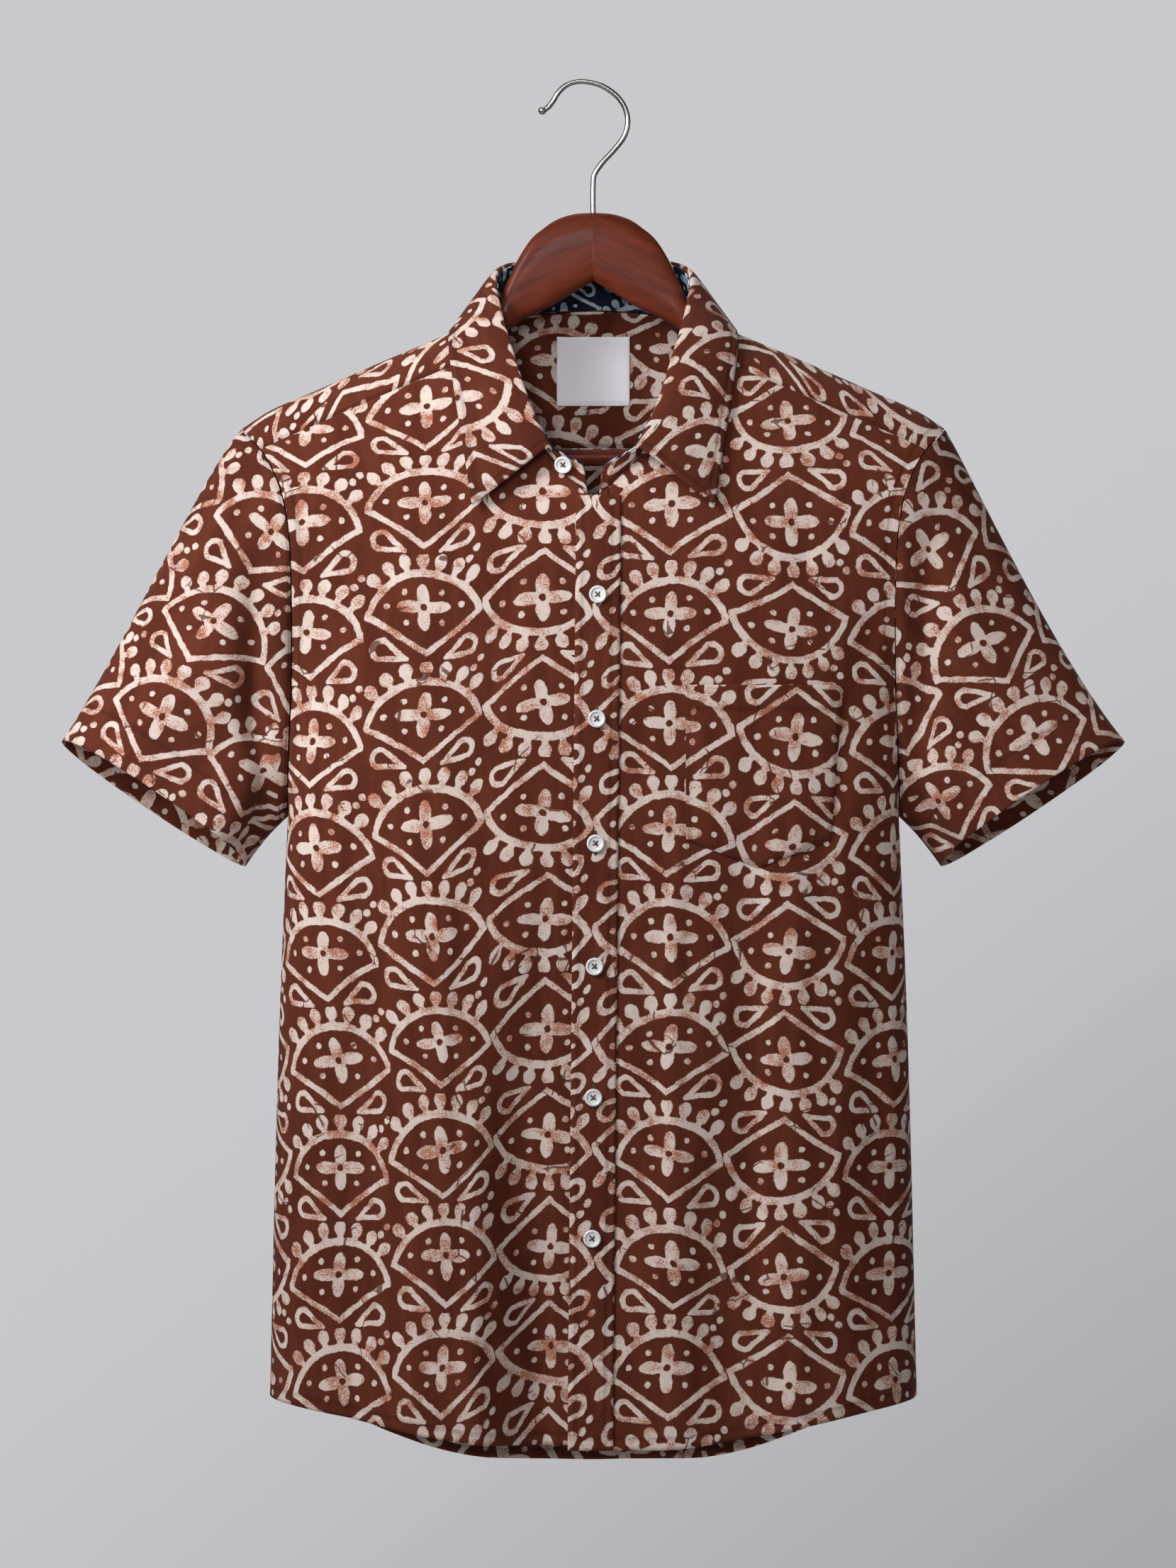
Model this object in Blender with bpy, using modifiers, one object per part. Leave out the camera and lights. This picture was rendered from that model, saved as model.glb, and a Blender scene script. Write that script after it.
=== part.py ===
"""Short-sleeve button-front shirt on a contoured wooden hanger, hung by its wire hook.

Run with: blender --background --python part.py
Metres, +Z up, the shirt's front towards -Y. The origin is the point of the hook's inner arc
that rests on a rail, straight above the hook's stem.
"""
import math

import bmesh
import bpy
import numpy as np

# Cloth and seams
CLOTH = 0.0012
COLLAR_CLOTH = 0.0014
SEAM_GAP = 0.0003
LAYER_LIFT = CLOTH + SEAM_GAP

# Levels, measured down from the rail
Z_UNDERARM = -0.481
Z_SIDE_HEM = -0.866
Z_FRONT_NECK = -0.274
Z_BACK_NECK = -0.146
Z_BACK_YOKE = -0.235
Z_NECK_POINT = -0.1565
FRONT_TAIL = 0.0235
BACK_TAIL = 0.049
YOKE_DROP = 0.025

# Body section: a squared oval, with the shoulder ridge rounding off to the full depth
SQUARENESS = 3.0
FRONT_DEPTH = 0.070
BACK_DEPTH = 0.068
FRONT_ROUNDING = 0.0614
BACK_ROUNDING = 0.034
ROUNDING_POWER = 0.645
ARMHOLE_SHARE = 0.86
ARMHOLE_RISE = 0.30
SHOULDER_TIP = 0.231
NECK_HALF = 0.078
NECK_POWER = 1.4
NECK_MIDDLE = -0.012
STAND_END = 0.004

# Height of the shoulder line over the hanger: x, z
RIDGE = (
    (0.000, -0.1290),
    (0.015, -0.1298),
    (0.045, -0.1415),
    (0.078, Z_NECK_POINT),
    (0.094, -0.1635),
    (0.143, -0.1842),
    (0.184, -0.2022),
    (0.215, -0.2160),
    (0.231, -0.2265),
)
# Half width of the body, which is the armhole seam above the underarm: z, half width
HALF_WIDTH = (
    (-0.930, 0.2145),
    (-0.866, 0.2125),
    (-0.700, 0.2085),
    (-0.600, 0.2055),
    (-0.520, 0.2022),
    (-0.481, 0.2005),
    (-0.435, 0.1985),
    (-0.390, 0.1968),
    (-0.340, 0.1962),
    (-0.300, 0.1975),
    (-0.275, 0.2015),
    (-0.255, 0.2090),
    (-0.240, 0.2185),
    (-0.2265, SHOULDER_TIP),
    (-0.100, SHOULDER_TIP),
)
# Soft hanging folds: x at the chest, x at the hem, half width, height out, z where it starts
FRONT_FOLDS = (
    (-0.150, -0.158, 0.020, -0.0030, -0.42),
    (-0.105, -0.112, 0.022, 0.0035, -0.38),
    (-0.055, -0.045, 0.020, -0.0060, -0.52),
    (0.060, 0.052, 0.022, 0.0030, -0.55),
    (0.100, 0.096, 0.018, -0.0030, -0.55),
    (0.150, 0.156, 0.020, 0.0025, -0.50),
)
BACK_FOLDS = (
    (-0.135, -0.145, 0.022, -0.0045, -0.34),
    (-0.075, -0.085, 0.024, 0.0050, -0.30),
    (0.010, 0.000, 0.022, -0.0040, -0.36),
    (0.080, 0.088, 0.024, 0.0045, -0.32),
    (0.140, 0.150, 0.020, -0.0040, -0.38),
)
FOLD_LENGTH = 0.25

# Sleeve: the two ends of the flattened cuff, and its depth
CUFF_OUTER = (0.350, -0.433)
CUFF_INNER = (0.229, -0.514)
CUFF_HALF_DEPTH = 0.040
CUFF_TILT = math.radians(7)
CUFF_POWER = 2.3
SLEEVE_DIP = 0.0055
SEAM_STEP = 0.0016

# Collar: the roll line, x, y, z from the back centre to the front end
ROLL_LINE = (
    (0.0000, 0.0350, -0.1145),
    (0.0300, 0.0310, -0.1150),
    (0.0520, 0.0180, -0.1172),
    (0.0635, -0.0020, -0.1270),
    (0.0620, -0.0220, -0.1510),
    (0.0530, -0.0430, -0.1840),
    (0.0410, -0.0565, -0.2180),
    (0.0270, -0.0635, -0.2450),
)
STAND_TOP_END = (0.0060, -0.0605, -0.2550)
# Outer edge of the turned-down leaf: x, y, z
LEAF_EDGE = (
    (0.0000, 0.0500, -0.1600),
    (0.0400, 0.0470, -0.1595),
    (0.0720, 0.0350, -0.1590),
    (0.0900, 0.0130, -0.1585),
    (0.0945, -0.0180, -0.1680),
    (0.0910, -0.0395, -0.2000),
    (0.0845, -0.0525, -0.2400),
    (0.0785, -0.0615, -0.2800),
)
ROLL_STEP = 0.0010
ROLL_HEIGHT = 0.0070
ROLL_LEAN = 0.0020
LEAF_BULGE = 0.0080
COLLAR_LAG = 0.06

# Front band, pocket, buttons and neck label
BAND_WIDTH = 0.029
BAND_CENTRE_TOP = 0.0030
BAND_CENTRE_HEM = -0.0038
FRONT_MEET = 0.0105
POCKET_LEFT = 0.0595
POCKET_RIGHT_TOP = 0.1615
POCKET_RIGHT_FOOT = 0.1535
POCKET_TOP = -0.3966
POCKET_CORNER = -0.4965
POCKET_POINT = -0.5147
BUTTON_RADIUS = 0.00575
BUTTON_THICK = 0.0024
BUTTON_Z = (-0.3384, -0.4186, -0.4988, -0.5780, -0.6623, -0.7530)
STAND_BUTTON = -0.0190
STAND_BUTTON_LIFT = 0.0012
LABEL_WIDTH = 0.049

# Hanger: x, top z, foot z, half thickness
ARM_TABLE = (
    (0.0002, -0.0840, -0.1290, 0.0075),
    (0.0130, -0.0850, -0.1368, 0.0075),
    (0.0250, -0.0890, -0.1440, 0.0075),
    (0.0330, -0.0945, -0.1482, 0.0075),
    (0.0400, -0.1003, -0.1515, 0.0075),
    (0.0495, -0.1145, -0.1565, 0.0075),
    (0.0560, -0.1285, -0.1610, 0.0075),
    (0.0607, -0.1385, -0.1655, 0.0073),
    (0.0668, -0.1525, -0.1720, 0.0074),
    (0.0790, -0.1630, -0.1810, 0.0082),
    (0.0940, -0.1690, -0.1925, 0.0106),
    (0.1200, -0.1797, -0.2070, 0.0130),
    (0.1500, -0.1920, -0.2255, 0.0150),
    (0.1850, -0.2075, -0.2480, 0.0165),
    (0.2100, -0.2185, -0.2590, 0.0160),
    (0.2230, -0.2290, -0.2600, 0.0120),
    (0.2265, -0.2370, -0.2550, 0.0060),
)
ARM_SQUARENESS = 2.6
BAR_RADIUS = 0.0055
BAR_Z = -0.2455
BAR_END = 0.1960
SOCKET_CLEARANCE = 0.0004
WIRE_RADIUS = 0.00185
STEM_FOOT = -0.104
# Hook centreline, from the stem up and over to the tip: x, z
HOOK_PATH = (
    (0.0000, STEM_FOOT),
    (0.0000, -0.0880),
    (0.0000, -0.0660),
    (0.0006, -0.0595),
    (0.0050, -0.0522),
    (0.0142, -0.0420),
    (0.0206, -0.0332),
    (0.0228, -0.0245),
    (0.0214, -0.0160),
    (0.0175, -0.0092),
    (0.0118, -0.0040),
    (0.0050, 0.0000),
    (-0.0021, 0.0021),
    (-0.0103, 0.0026),
    (-0.0174, 0.0003),
    (-0.0230, -0.0048),
    (-0.0266, -0.0105),
    (-0.0300, -0.0146),
    (-0.0332, -0.0165),
    (-0.0362, -0.0173),
)
BALL_RADIUS = 0.0027
BALL_FLAT = 0.4

# Levels of the body's rows of faces; the pocket's mouth and corners lie on two of them
FRONT_LEVELS = (-0.842, -0.810, -0.775, -0.740, -0.705, -0.670, -0.635, -0.600, -0.565, -0.530)
FRONT_LEVELS += (POCKET_CORNER, Z_UNDERARM, -0.462, -0.430, POCKET_TOP, -0.362, -0.332, -0.306)
FRONT_TOP_STEPS = (0.22, 0.45, 0.68, 0.86, 1.0)
BACK_LEVELS = (-0.842, -0.800, -0.755, -0.710, -0.665, -0.620, -0.575, -0.530, -0.500)
BACK_LEVELS += (Z_UNDERARM, -0.462, -0.430, -0.390, -0.350, -0.310, -0.285, -0.260)
LABEL_ROWS = (0.32, 0.45, 0.58, 0.70, 0.82)
YOKE_STEPS = (0.0, 0.16) + LABEL_ROWS + (0.94, 1.0)

# Mesh density
BODY_COLUMNS = 13
NECK_COLUMNS = 6
SHOULDER_COLUMNS = 9
COLUMNS = NECK_COLUMNS + SHOULDER_COLUMNS - 1
LEAF_COLUMNS = 17
SLEEVE_COLUMNS = 28
SLEEVE_ROWS = 8

COLOURS = {
    "shirt_cloth": ((0.16, 0.045, 0.025), 0.85, 0.0),
    "stand_lining": ((0.02, 0.025, 0.05), 0.85, 0.0),
    "label_satin": ((0.80, 0.79, 0.80), 0.6, 0.0),
    "button_shell": ((0.78, 0.78, 0.78), 0.3, 0.0),
    "hanger_wood": ((0.16, 0.04, 0.018), 0.35, 0.0),
    "hook_steel": ((0.62, 0.61, 0.60), 0.25, 1.0),
}


def smooth_curve(table, at, column=1):
    """Reads a table's column at a position of its first column, on a smooth curve through its rows."""
    rows = np.array(table, float)
    x, y = rows[:, 0], rows[:, column]
    step = np.diff(y) / np.diff(x)
    slope = np.concatenate([[step[0]], (step[1:] + step[:-1]) / 2, [step[-1]]])
    at = np.clip(np.asarray(at, float), x[0], x[-1])
    k = np.clip(np.searchsorted(x, at, side="right") - 1, 0, len(x) - 2)
    width = x[k + 1] - x[k]
    t = (at - x[k]) / width
    return (
        y[k] * (1 + 2 * t) * (1 - t) ** 2
        + slope[k] * width * t * (1 - t) ** 2
        + y[k + 1] * t * t * (3 - 2 * t)
        - slope[k + 1] * width * t * t * (1 - t)
    )


def along(points, fractions):
    """Points at the given fractions of the length of a smooth curve through the given points."""
    points = np.array(points, float)
    steps = np.linalg.norm(np.diff(points, axis=0), axis=1)
    stations = np.concatenate([[0], np.cumsum(steps)])
    fine = np.linspace(0, stations[-1], 400)
    dense = np.stack(
        [smooth_curve(np.stack([stations, points[:, i]], 1), fine) for i in range(points.shape[1])], 1
    )
    return evenly(dense, fractions)


def evenly(dense, fractions):
    """Points at the given fractions of the length of a dense run of points."""
    steps = np.linalg.norm(np.diff(dense, axis=0), axis=1)
    length = np.concatenate([[0], np.cumsum(steps)])
    length /= length[-1]
    return np.stack([np.interp(fractions, length, dense[:, i]) for i in range(dense.shape[1])], 1)


def section_table():
    """Share of the half width and of the depth, at even steps round a quarter of the body's section."""
    angle = np.linspace(0, math.pi / 2, 600)
    a = np.sin(angle) ** (2 / SQUARENESS)
    b = np.cos(angle) ** (2 / SQUARENESS)
    run = np.stack([a * 0.205, b * FRONT_DEPTH], 1)
    length = np.concatenate([[0], np.cumsum(np.linalg.norm(np.diff(run, axis=0), axis=1))])
    return length / length[-1], a, b


SECTION = section_table()


def fold_height(folds, x, z):
    """How far the cloth stands out at a place, summed over the folds of one side."""
    total = np.zeros(np.broadcast(x, z).shape)
    for chest_x, hem_x, half, height, start in folds:
        share = np.clip((start - z) / FOLD_LENGTH, 0, 1)
        centre = chest_x + (hem_x - chest_x) * share
        fade = share * share * (3 - 2 * share)
        total += height * fade * np.exp(-(((x - centre) / half) ** 2))
    return total


def torso(side, s, z, lift=0.0):
    """Body surface: side -1 is the front and 1 the back, s runs from -1 to 1 across, z is the height.

    The half width comes from its table. The depth grows below the shoulder line as
    1 - exp(-(drop / rounding) ** power), and falls off to the side as a squared oval.
    """
    s, z = np.broadcast_arrays(np.asarray(s, float), np.asarray(z, float))
    a = np.interp(np.abs(s), SECTION[0], SECTION[1])
    b = np.interp(np.abs(s), SECTION[0], SECTION[2])
    x = np.sign(s) * smooth_curve(HALF_WIDTH, z) * a
    drop = np.maximum(smooth_curve(RIDGE, np.abs(x)) - z, 0)
    depth, rounding, folds = (
        (FRONT_DEPTH, FRONT_ROUNDING, FRONT_FOLDS)
        if side < 0
        else (BACK_DEPTH, BACK_ROUNDING, BACK_FOLDS)
    )
    reach = depth * (1 - np.exp(-((drop / rounding) ** ROUNDING_POWER)))
    up = np.clip((z - Z_UNDERARM) / (RIDGE[-1][1] - Z_UNDERARM) / ARMHOLE_RISE, 0, 1)
    edge = ARMHOLE_SHARE * np.sqrt(1 - (1 - up) ** 2)
    y = reach * (b**4 + edge**4 * (1 - b**4)) ** 0.25 + fold_height(folds, x, z) * b
    points = np.stack([x, side * y, z], -1)
    if lift:
        points = points + lift * torso_normal(side, s, z)
    return points


def torso_normal(side, s, z):
    """Outward unit normal of the body surface, from small steps each way."""
    ds = torso(side, s + 1e-3, z) - torso(side, s - 1e-3, z)
    dz = torso(side, s, z + 1e-4) - torso(side, s, z - 1e-4)
    normal = np.cross(ds, dz) * (1 if side < 0 else -1)
    return normal / np.linalg.norm(normal, axis=-1, keepdims=True)


def share_at(x, z):
    """The s at which the body surface at height z is at this x."""
    a = np.clip(np.abs(x) / smooth_curve(HALF_WIDTH, z), 0, 1)
    return np.sign(x) * np.interp(a, SECTION[1], SECTION[0])


NECK_S = float(share_at(NECK_HALF, Z_NECK_POINT))


def ridge_level(s, drop=0.0):
    """Height of the line that lies the given drop below the shoulder line, found by repeated steps."""
    z = np.full(np.shape(s), -0.2)
    for _ in range(40):
        x = np.interp(np.abs(s), SECTION[0], SECTION[1]) * smooth_curve(HALF_WIDTH, z)
        z = 0.5 * z + 0.5 * (smooth_curve(RIDGE, x) - drop)
    return z


def neck_level(s):
    """Height of the front neckline: a rounded V from the front centre up to the shoulder."""
    rise = 1 - (1 - np.clip(np.abs(s) / NECK_S, 0, 1) ** NECK_POWER) ** (1 / NECK_POWER)
    return Z_FRONT_NECK + (Z_NECK_POINT - Z_FRONT_NECK) * rise


def neck_share(z):
    """The s of the front neckline at height z, the inverse of neck_level."""
    rise = np.clip((z - Z_FRONT_NECK) / (Z_NECK_POINT - Z_FRONT_NECK), 0, 1)
    return NECK_S * (1 - (1 - rise) ** NECK_POWER) ** (1 / NECK_POWER)


def back_neck_level(s):
    """Height of the back neckline: a shallow arc from the centre down to the shoulder."""
    fall = 1 - np.cos(np.clip(np.abs(s) / NECK_S, 0, 1) * math.pi / 2)
    return Z_BACK_NECK + (ridge_level(np.array(NECK_S)) - Z_BACK_NECK) * fall


def hem_level(side, s):
    """Height of the hem: low across the middle, rising to the side seams."""
    tail = FRONT_TAIL if side < 0 else BACK_TAIL
    t = np.clip((np.abs(s) - 0.12) / 0.86, 0, 1)
    return Z_SIDE_HEM - tail * (1 - t * t * (3 - 2 * t))


def corner_share():
    """The s where the front neckline meets the yoke seam."""
    s = np.linspace(0.2, 1, 4000) * NECK_S
    gap = neck_level(s) - ridge_level(s, YOKE_DROP)
    return float(s[np.argmin(np.abs(gap))])


CORNER_S = corner_share()


def material(name):
    """A plain Principled finish from the colour table."""
    if name in bpy.data.materials:
        return bpy.data.materials[name]
    colour, roughness, metallic = COLOURS[name]
    made = bpy.data.materials.new(name)
    made.use_nodes = True
    shader = made.node_tree.nodes["Principled BSDF"]
    shader.inputs["Base Color"].default_value = (*colour, 1)
    shader.inputs["Roughness"].default_value = roughness
    shader.inputs["Metallic"].default_value = metallic
    made.diffuse_color = (*colour, 1)
    return made


def place(name, mesh, finish):
    """Makes a node of a mesh and puts it in the shirt's collection."""
    made = bpy.data.objects.new(name, mesh)
    bpy.data.collections["hung_shirt"].objects.link(made)
    made.data.materials.append(material(finish))
    made.data.shade_smooth()
    return made


def grid_mesh(name, grids, ring=False):
    """One open mesh from grids of points (rows, columns, 3) that share their common edges."""
    bm = bmesh.new()
    for grid in grids:
        rows, columns = grid.shape[:2]
        verts = [[bm.verts.new(grid[i, j]) for j in range(columns)] for i in range(rows)]
        wrap = columns if ring else columns - 1
        for i in range(rows - 1):
            for j in range(wrap):
                k = (j + 1) % columns
                bm.faces.new((verts[i][j], verts[i][k], verts[i + 1][k], verts[i + 1][j]))
    bmesh.ops.remove_doubles(bm, verts=bm.verts, dist=1e-5)
    bmesh.ops.recalc_face_normals(bm, faces=bm.faces)
    mesh = bpy.data.meshes.new(name)
    bm.to_mesh(mesh)
    bm.free()
    return mesh


def cloth_wall(name, grids, finish="shirt_cloth", thickness=CLOTH, ring=False):
    """A cloth panel: an open surface given its thickness about its middle."""
    made = place(name, grid_mesh(name, grids, ring), finish)
    wall = made.modifiers.new("thickness", "SOLIDIFY")
    wall.thickness = thickness
    wall.offset = 0
    wall.use_even_offset = False
    return made


def front_grid(sign):
    """Shares and heights of one front panel's rows, from the hem up and from the button line out.

    Up to the pocket's mouth, the columns pass through the pocket's two sides; above it they
    spread to even steps along the neckline and the yoke seam.
    """
    levels = np.array(FRONT_LEVELS)
    inner = sign * FRONT_MEET + (SEAM_GAP if sign > 0 else -SEAM_GAP)
    right = pocket_right(levels)
    start = sign * share_at(np.full(levels.shape, inner), levels)
    left = share_at(np.full(levels.shape, POCKET_LEFT), levels)
    side = share_at(right, levels)
    last = np.full(levels.shape, 1 - SEAM_GAP / 0.48)
    stops = np.stack([start, left, side, last], 1)
    place_in = np.interp(np.arange(COLUMNS), (0, 3, 8, COLUMNS - 1), (0, 1, 2, 3))
    k = np.minimum(place_in.astype(int), 2)
    w = place_in - k
    shares = stops[:, k] * (1 - w) + stops[:, k + 1] * w
    neck_start = float(sign * share_at(inner, Z_FRONT_NECK))
    near = np.linspace(neck_start, CORNER_S, NECK_COLUMNS)
    far = np.linspace(CORNER_S, 1 - SEAM_GAP / 0.48, SHOULDER_COLUMNS)
    top_shares = np.concatenate([near[:-1], far])
    top = np.where(top_shares <= CORNER_S, neck_level(top_shares), ridge_level(top_shares, YOKE_DROP))
    upper = np.clip((levels - POCKET_TOP) / (levels[-1] - POCKET_TOP), 0, 1)[:, None] * 0.35
    shares = shares * (1 - upper) + top_shares * upper
    heights = np.repeat(levels[:, None], COLUMNS, axis=1)
    low = shares[:1]
    rows_s, rows_z = [low, shares], [hem_level(-1, low), heights]
    for w in FRONT_TOP_STEPS:
        rows_s.append(shares[-1:] * (1 - w) + top_shares * w)
        rows_z.append(heights[-1:] * (1 - w) + (top - SEAM_GAP) * w)
    return np.concatenate(rows_s), np.concatenate(rows_z)


def pocket_right(z):
    """The x of the pocket's outer side, which leans in a little towards its foot."""
    w = np.clip((z - POCKET_CORNER) / (POCKET_TOP - POCKET_CORNER), 0, 1)
    return POCKET_RIGHT_FOOT + (POCKET_RIGHT_TOP - POCKET_RIGHT_FOOT) * w


def build_front(name, sign):
    """One front panel, from the button line to the side seam and up to the neck and the yoke."""
    shares, z = front_grid(sign)
    return cloth_wall(name, [torso(-1, sign * shares, z)])


def build_back():
    """The back panel, from side seam to side seam and from the hem up to the yoke seam."""
    half = np.linspace(0, 1, BODY_COLUMNS)
    half[-1] -= SEAM_GAP / 0.48
    shares = np.concatenate([-half[:0:-1], half])
    levels = np.array(BACK_LEVELS + (Z_BACK_YOKE - SEAM_GAP,))[:, None] + 0 * shares
    z = np.concatenate([hem_level(1, shares)[None, :], levels])
    return cloth_wall("back", [torso(1, shares, z)])


def yoke_grids():
    """Shares and heights of the yoke's back part, and of the flap that comes over one shoulder."""
    near = share_at(np.array([0, 0.5, 1.0]) * LABEL_WIDTH / 2, -0.19)
    bend = 1 - (1 - np.arange(1, 6) / 5) ** 1.8
    near = np.concatenate([near, near[-1] + (NECK_S - near[-1]) * bend])
    outer = np.linspace(NECK_S, 1 - SEAM_GAP / 0.48, SHOULDER_COLUMNS)
    half = np.concatenate([near[:-1], outer])
    shares = np.concatenate([-half[:0:-1], half])
    top = np.where(np.abs(shares) < NECK_S, back_neck_level(shares), ridge_level(shares))
    low = Z_BACK_YOKE + SEAM_GAP
    heights = low + (top - low) * np.array(YOKE_STEPS)[:, None]
    flap_s, flap_z = [], []
    for w in (0, 0.04, 0.14, 0.35, 0.65, 1):
        corner = float(ridge_level(np.array(NECK_S), YOKE_DROP * w))
        start = NECK_S if w == 0 else CORNER_S if w == 1 else float(neck_share(corner))
        share = np.linspace(start, outer[-1], SHOULDER_COLUMNS)
        flap_s.append(share)
        flap_z.append(ridge_level(share, YOKE_DROP * w))
    return shares, heights, np.array(flap_s), np.array(flap_z)


def build_yoke():
    """The yoke: the back part, and a flap that comes forward over each shoulder to the front seam."""
    shares, heights, flap_s, flap_z = yoke_grids()
    grids = [torso(1, shares, heights)]
    grids += [torso(-1, sign * flap_s, flap_z) for sign in (-1, 1)]
    return cloth_wall("yoke", grids)


def armhole(sign, fractions):
    """Points of the armhole seam: down the front from the shoulder tip, and up the back again."""
    z = Z_UNDERARM + (RIDGE[-1][1] - Z_UNDERARM) * (0.5 + 0.5 * np.cos(np.linspace(0, math.pi, 500)))
    front = torso(-1, np.full(z.shape, 1.0), z)
    back = torso(1, np.full(z.shape, 1.0), z)
    points = np.where(
        (fractions <= 0.5)[:, None],
        evenly(front, fractions * 2),
        evenly(back, 2 - fractions * 2),
    )
    return points * (sign, 1, 1)


def sleeve_surface(sign, fractions, t):
    """Sleeve points: from the armhole at t 0 to the cuff at t 1, round from the shoulder by fractions.

    Each line is a cubic curve that leaves the armhole outwards and arrives along the sleeve.
    """
    outer, inner = np.array(CUFF_OUTER), np.array(CUFF_INNER)
    across = np.array([inner[0] - outer[0], 0, inner[1] - outer[1]])
    radius = np.linalg.norm(across) / 2
    across /= np.linalg.norm(across)
    axis = np.array([-across[2], 0, across[0]])
    axis *= -1 if axis[2] > 0 else 1
    deep = np.array([0, math.cos(CUFF_TILT), 0]) + axis * math.sin(CUFF_TILT)
    centre = np.array([(outer[0] + inner[0]) / 2, 0, (outer[1] + inner[1]) / 2])
    turn = fractions * 2 * math.pi
    c, s = np.cos(turn), np.sin(turn)
    power = 2 / CUFF_POWER
    cuff = (
        centre
        - across * (radius * np.sign(c) * np.abs(c) ** power)[:, None]
        - deep * (CUFF_HALF_DEPTH * np.sign(s) * np.abs(s) ** power)[:, None]
    )
    start = armhole(1, fractions)
    top = ((1 + c) / 2)[:, None]
    leave = top * np.array([0.70, 0, -0.71]) + (1 - top) * np.array([0.80, 0, -0.60])
    leave = leave + s[:, None] * np.array([0, 0.22, 0])
    start = start + leave * (SEAM_STEP + (1 - top) * 0.0008)
    span = np.linalg.norm(cuff - start, axis=1)[:, None]
    t = np.asarray(t, float)[:, None, None]
    points = (
        start * (1 + 2 * t) * (1 - t) ** 2
        + leave * span * 0.40 * t * (1 - t) ** 2
        + cuff * t * t * (3 - 2 * t)
        - axis * span * 0.9 * t * t * (1 - t)
    )
    if sign > 0:
        points += across * SLEEVE_DIP * 4 * (t - t * t) * top**3
    return points * (sign, 1, 1)


def build_sleeve(name, sign):
    """One sleeve, a tube from the armhole to the cuff."""
    fractions = np.arange(SLEEVE_COLUMNS) / SLEEVE_COLUMNS
    points = sleeve_surface(sign, fractions, np.linspace(0, 1, SLEEVE_ROWS))
    return cloth_wall(name, [points], ring=True)


def neck_ring(fractions):
    """Points of the neck seam, by share of its way from the back centre to the front end."""
    back_s = np.linspace(0, NECK_S, 60)
    back = torso(1, back_s, back_neck_level(back_s))
    z = np.linspace(Z_NECK_POINT, Z_FRONT_NECK, 120)[1:]
    front_s = np.maximum(neck_share(z), STAND_END / 0.24)
    front = torso(-1, front_s, z)
    return evenly(np.concatenate([back, front]), fractions)


def both_sides(half):
    """A run from one end round the back centre to the other end, from its half."""
    return np.concatenate([half[:0:-1] * (-1, 1, 1), half])


def collar_lines():
    """The neck seam and the stand's top edge, point for point, from the back centre to one end."""
    roll = along(ROLL_LINE, np.linspace(0, 1, LEAF_COLUMNS))
    end = np.array(STAND_TOP_END)
    top = np.concatenate([roll, [(roll[-1] + end) / 2, end]])
    steps = np.linalg.norm(np.diff(top, axis=0), axis=1)
    share = np.concatenate([[0], np.cumsum(steps)]) / np.sum(steps)
    return neck_ring(share - COLLAR_LAG * np.sin(math.pi * share)), top


def collar_outward():
    """Unit normals of the stand, away from the neck, one for each of its columns."""
    base, top = collar_lines()
    middle = (base + top) / 2
    out = np.cross(top - base, np.gradient(middle, axis=0))
    out[0, 0] = 0
    out *= np.sign(np.sum(out * (middle * (1, 1, 0) - (0, NECK_MIDDLE, 0)), axis=1, keepdims=True))
    return out / np.linalg.norm(out, axis=1, keepdims=True)


def build_stand(name, finish, inward, thickness):
    """The collar stand, or the lining on its inside, from the neck seam up to the roll line."""
    base, top = collar_lines()
    out = collar_outward()
    up = (top - base) / np.linalg.norm(top - base, axis=1, keepdims=True)
    low = base + up * (CLOTH + SEAM_GAP)
    rows = [both_sides(low + (top - low) * w - out * inward) for w in (0, 0.33, 0.67, 1)]
    return cloth_wall(name, [np.array(rows)], finish, thickness)


def build_leaf():
    """The turned-down collar leaf: over the roll line, and down to its edge and points."""
    base, roll = (line[:LEAF_COLUMNS] for line in collar_lines())
    edge = along(LEAF_EDGE, np.linspace(0, 1, LEAF_COLUMNS))
    out = collar_outward()[:LEAF_COLUMNS]
    rise = roll - base
    rise /= np.linalg.norm(rise, axis=1, keepdims=True)
    seam = roll + rise * 2 * SEAM_GAP
    start = seam + rise * ROLL_STEP
    first = start + rise * ROLL_HEIGHT + out * ROLL_LEAN
    second = roll + (edge - roll) * 0.4 + out * LEAF_BULGE
    rows = [both_sides(seam)]
    for w in (0, 0.12, 0.27, 0.45, 0.65, 0.83, 1):
        rows.append(
            both_sides(
                start * (1 - w) ** 3
                + first * 3 * w * (1 - w) ** 2
                + second * 3 * w * w * (1 - w)
                + edge * w**3
            )
        )
    return cloth_wall("collar_leaf", [np.array(rows)], thickness=COLLAR_CLOTH)


def band_centre(z):
    """The x of the button line, which drifts a little to one side towards the hem."""
    share = np.clip((Z_FRONT_NECK - z) / (Z_FRONT_NECK - Z_SIDE_HEM), 0, 1)
    return BAND_CENTRE_TOP + (BAND_CENTRE_HEM - BAND_CENTRE_TOP) * share


def build_band():
    """The front band, a strip that lies over the meeting edges of both fronts, from neck to hem."""
    _, heights = front_grid(1)
    z = heights[:, :1]
    z[-1] = Z_FRONT_NECK - 2 * SEAM_GAP
    across = np.linspace(-0.5, 0.5, 4)
    x = band_centre(z) + across * BAND_WIDTH
    return cloth_wall("front_band", [torso(-1, share_at(x, z), z, lift=LAYER_LIFT)])


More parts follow.
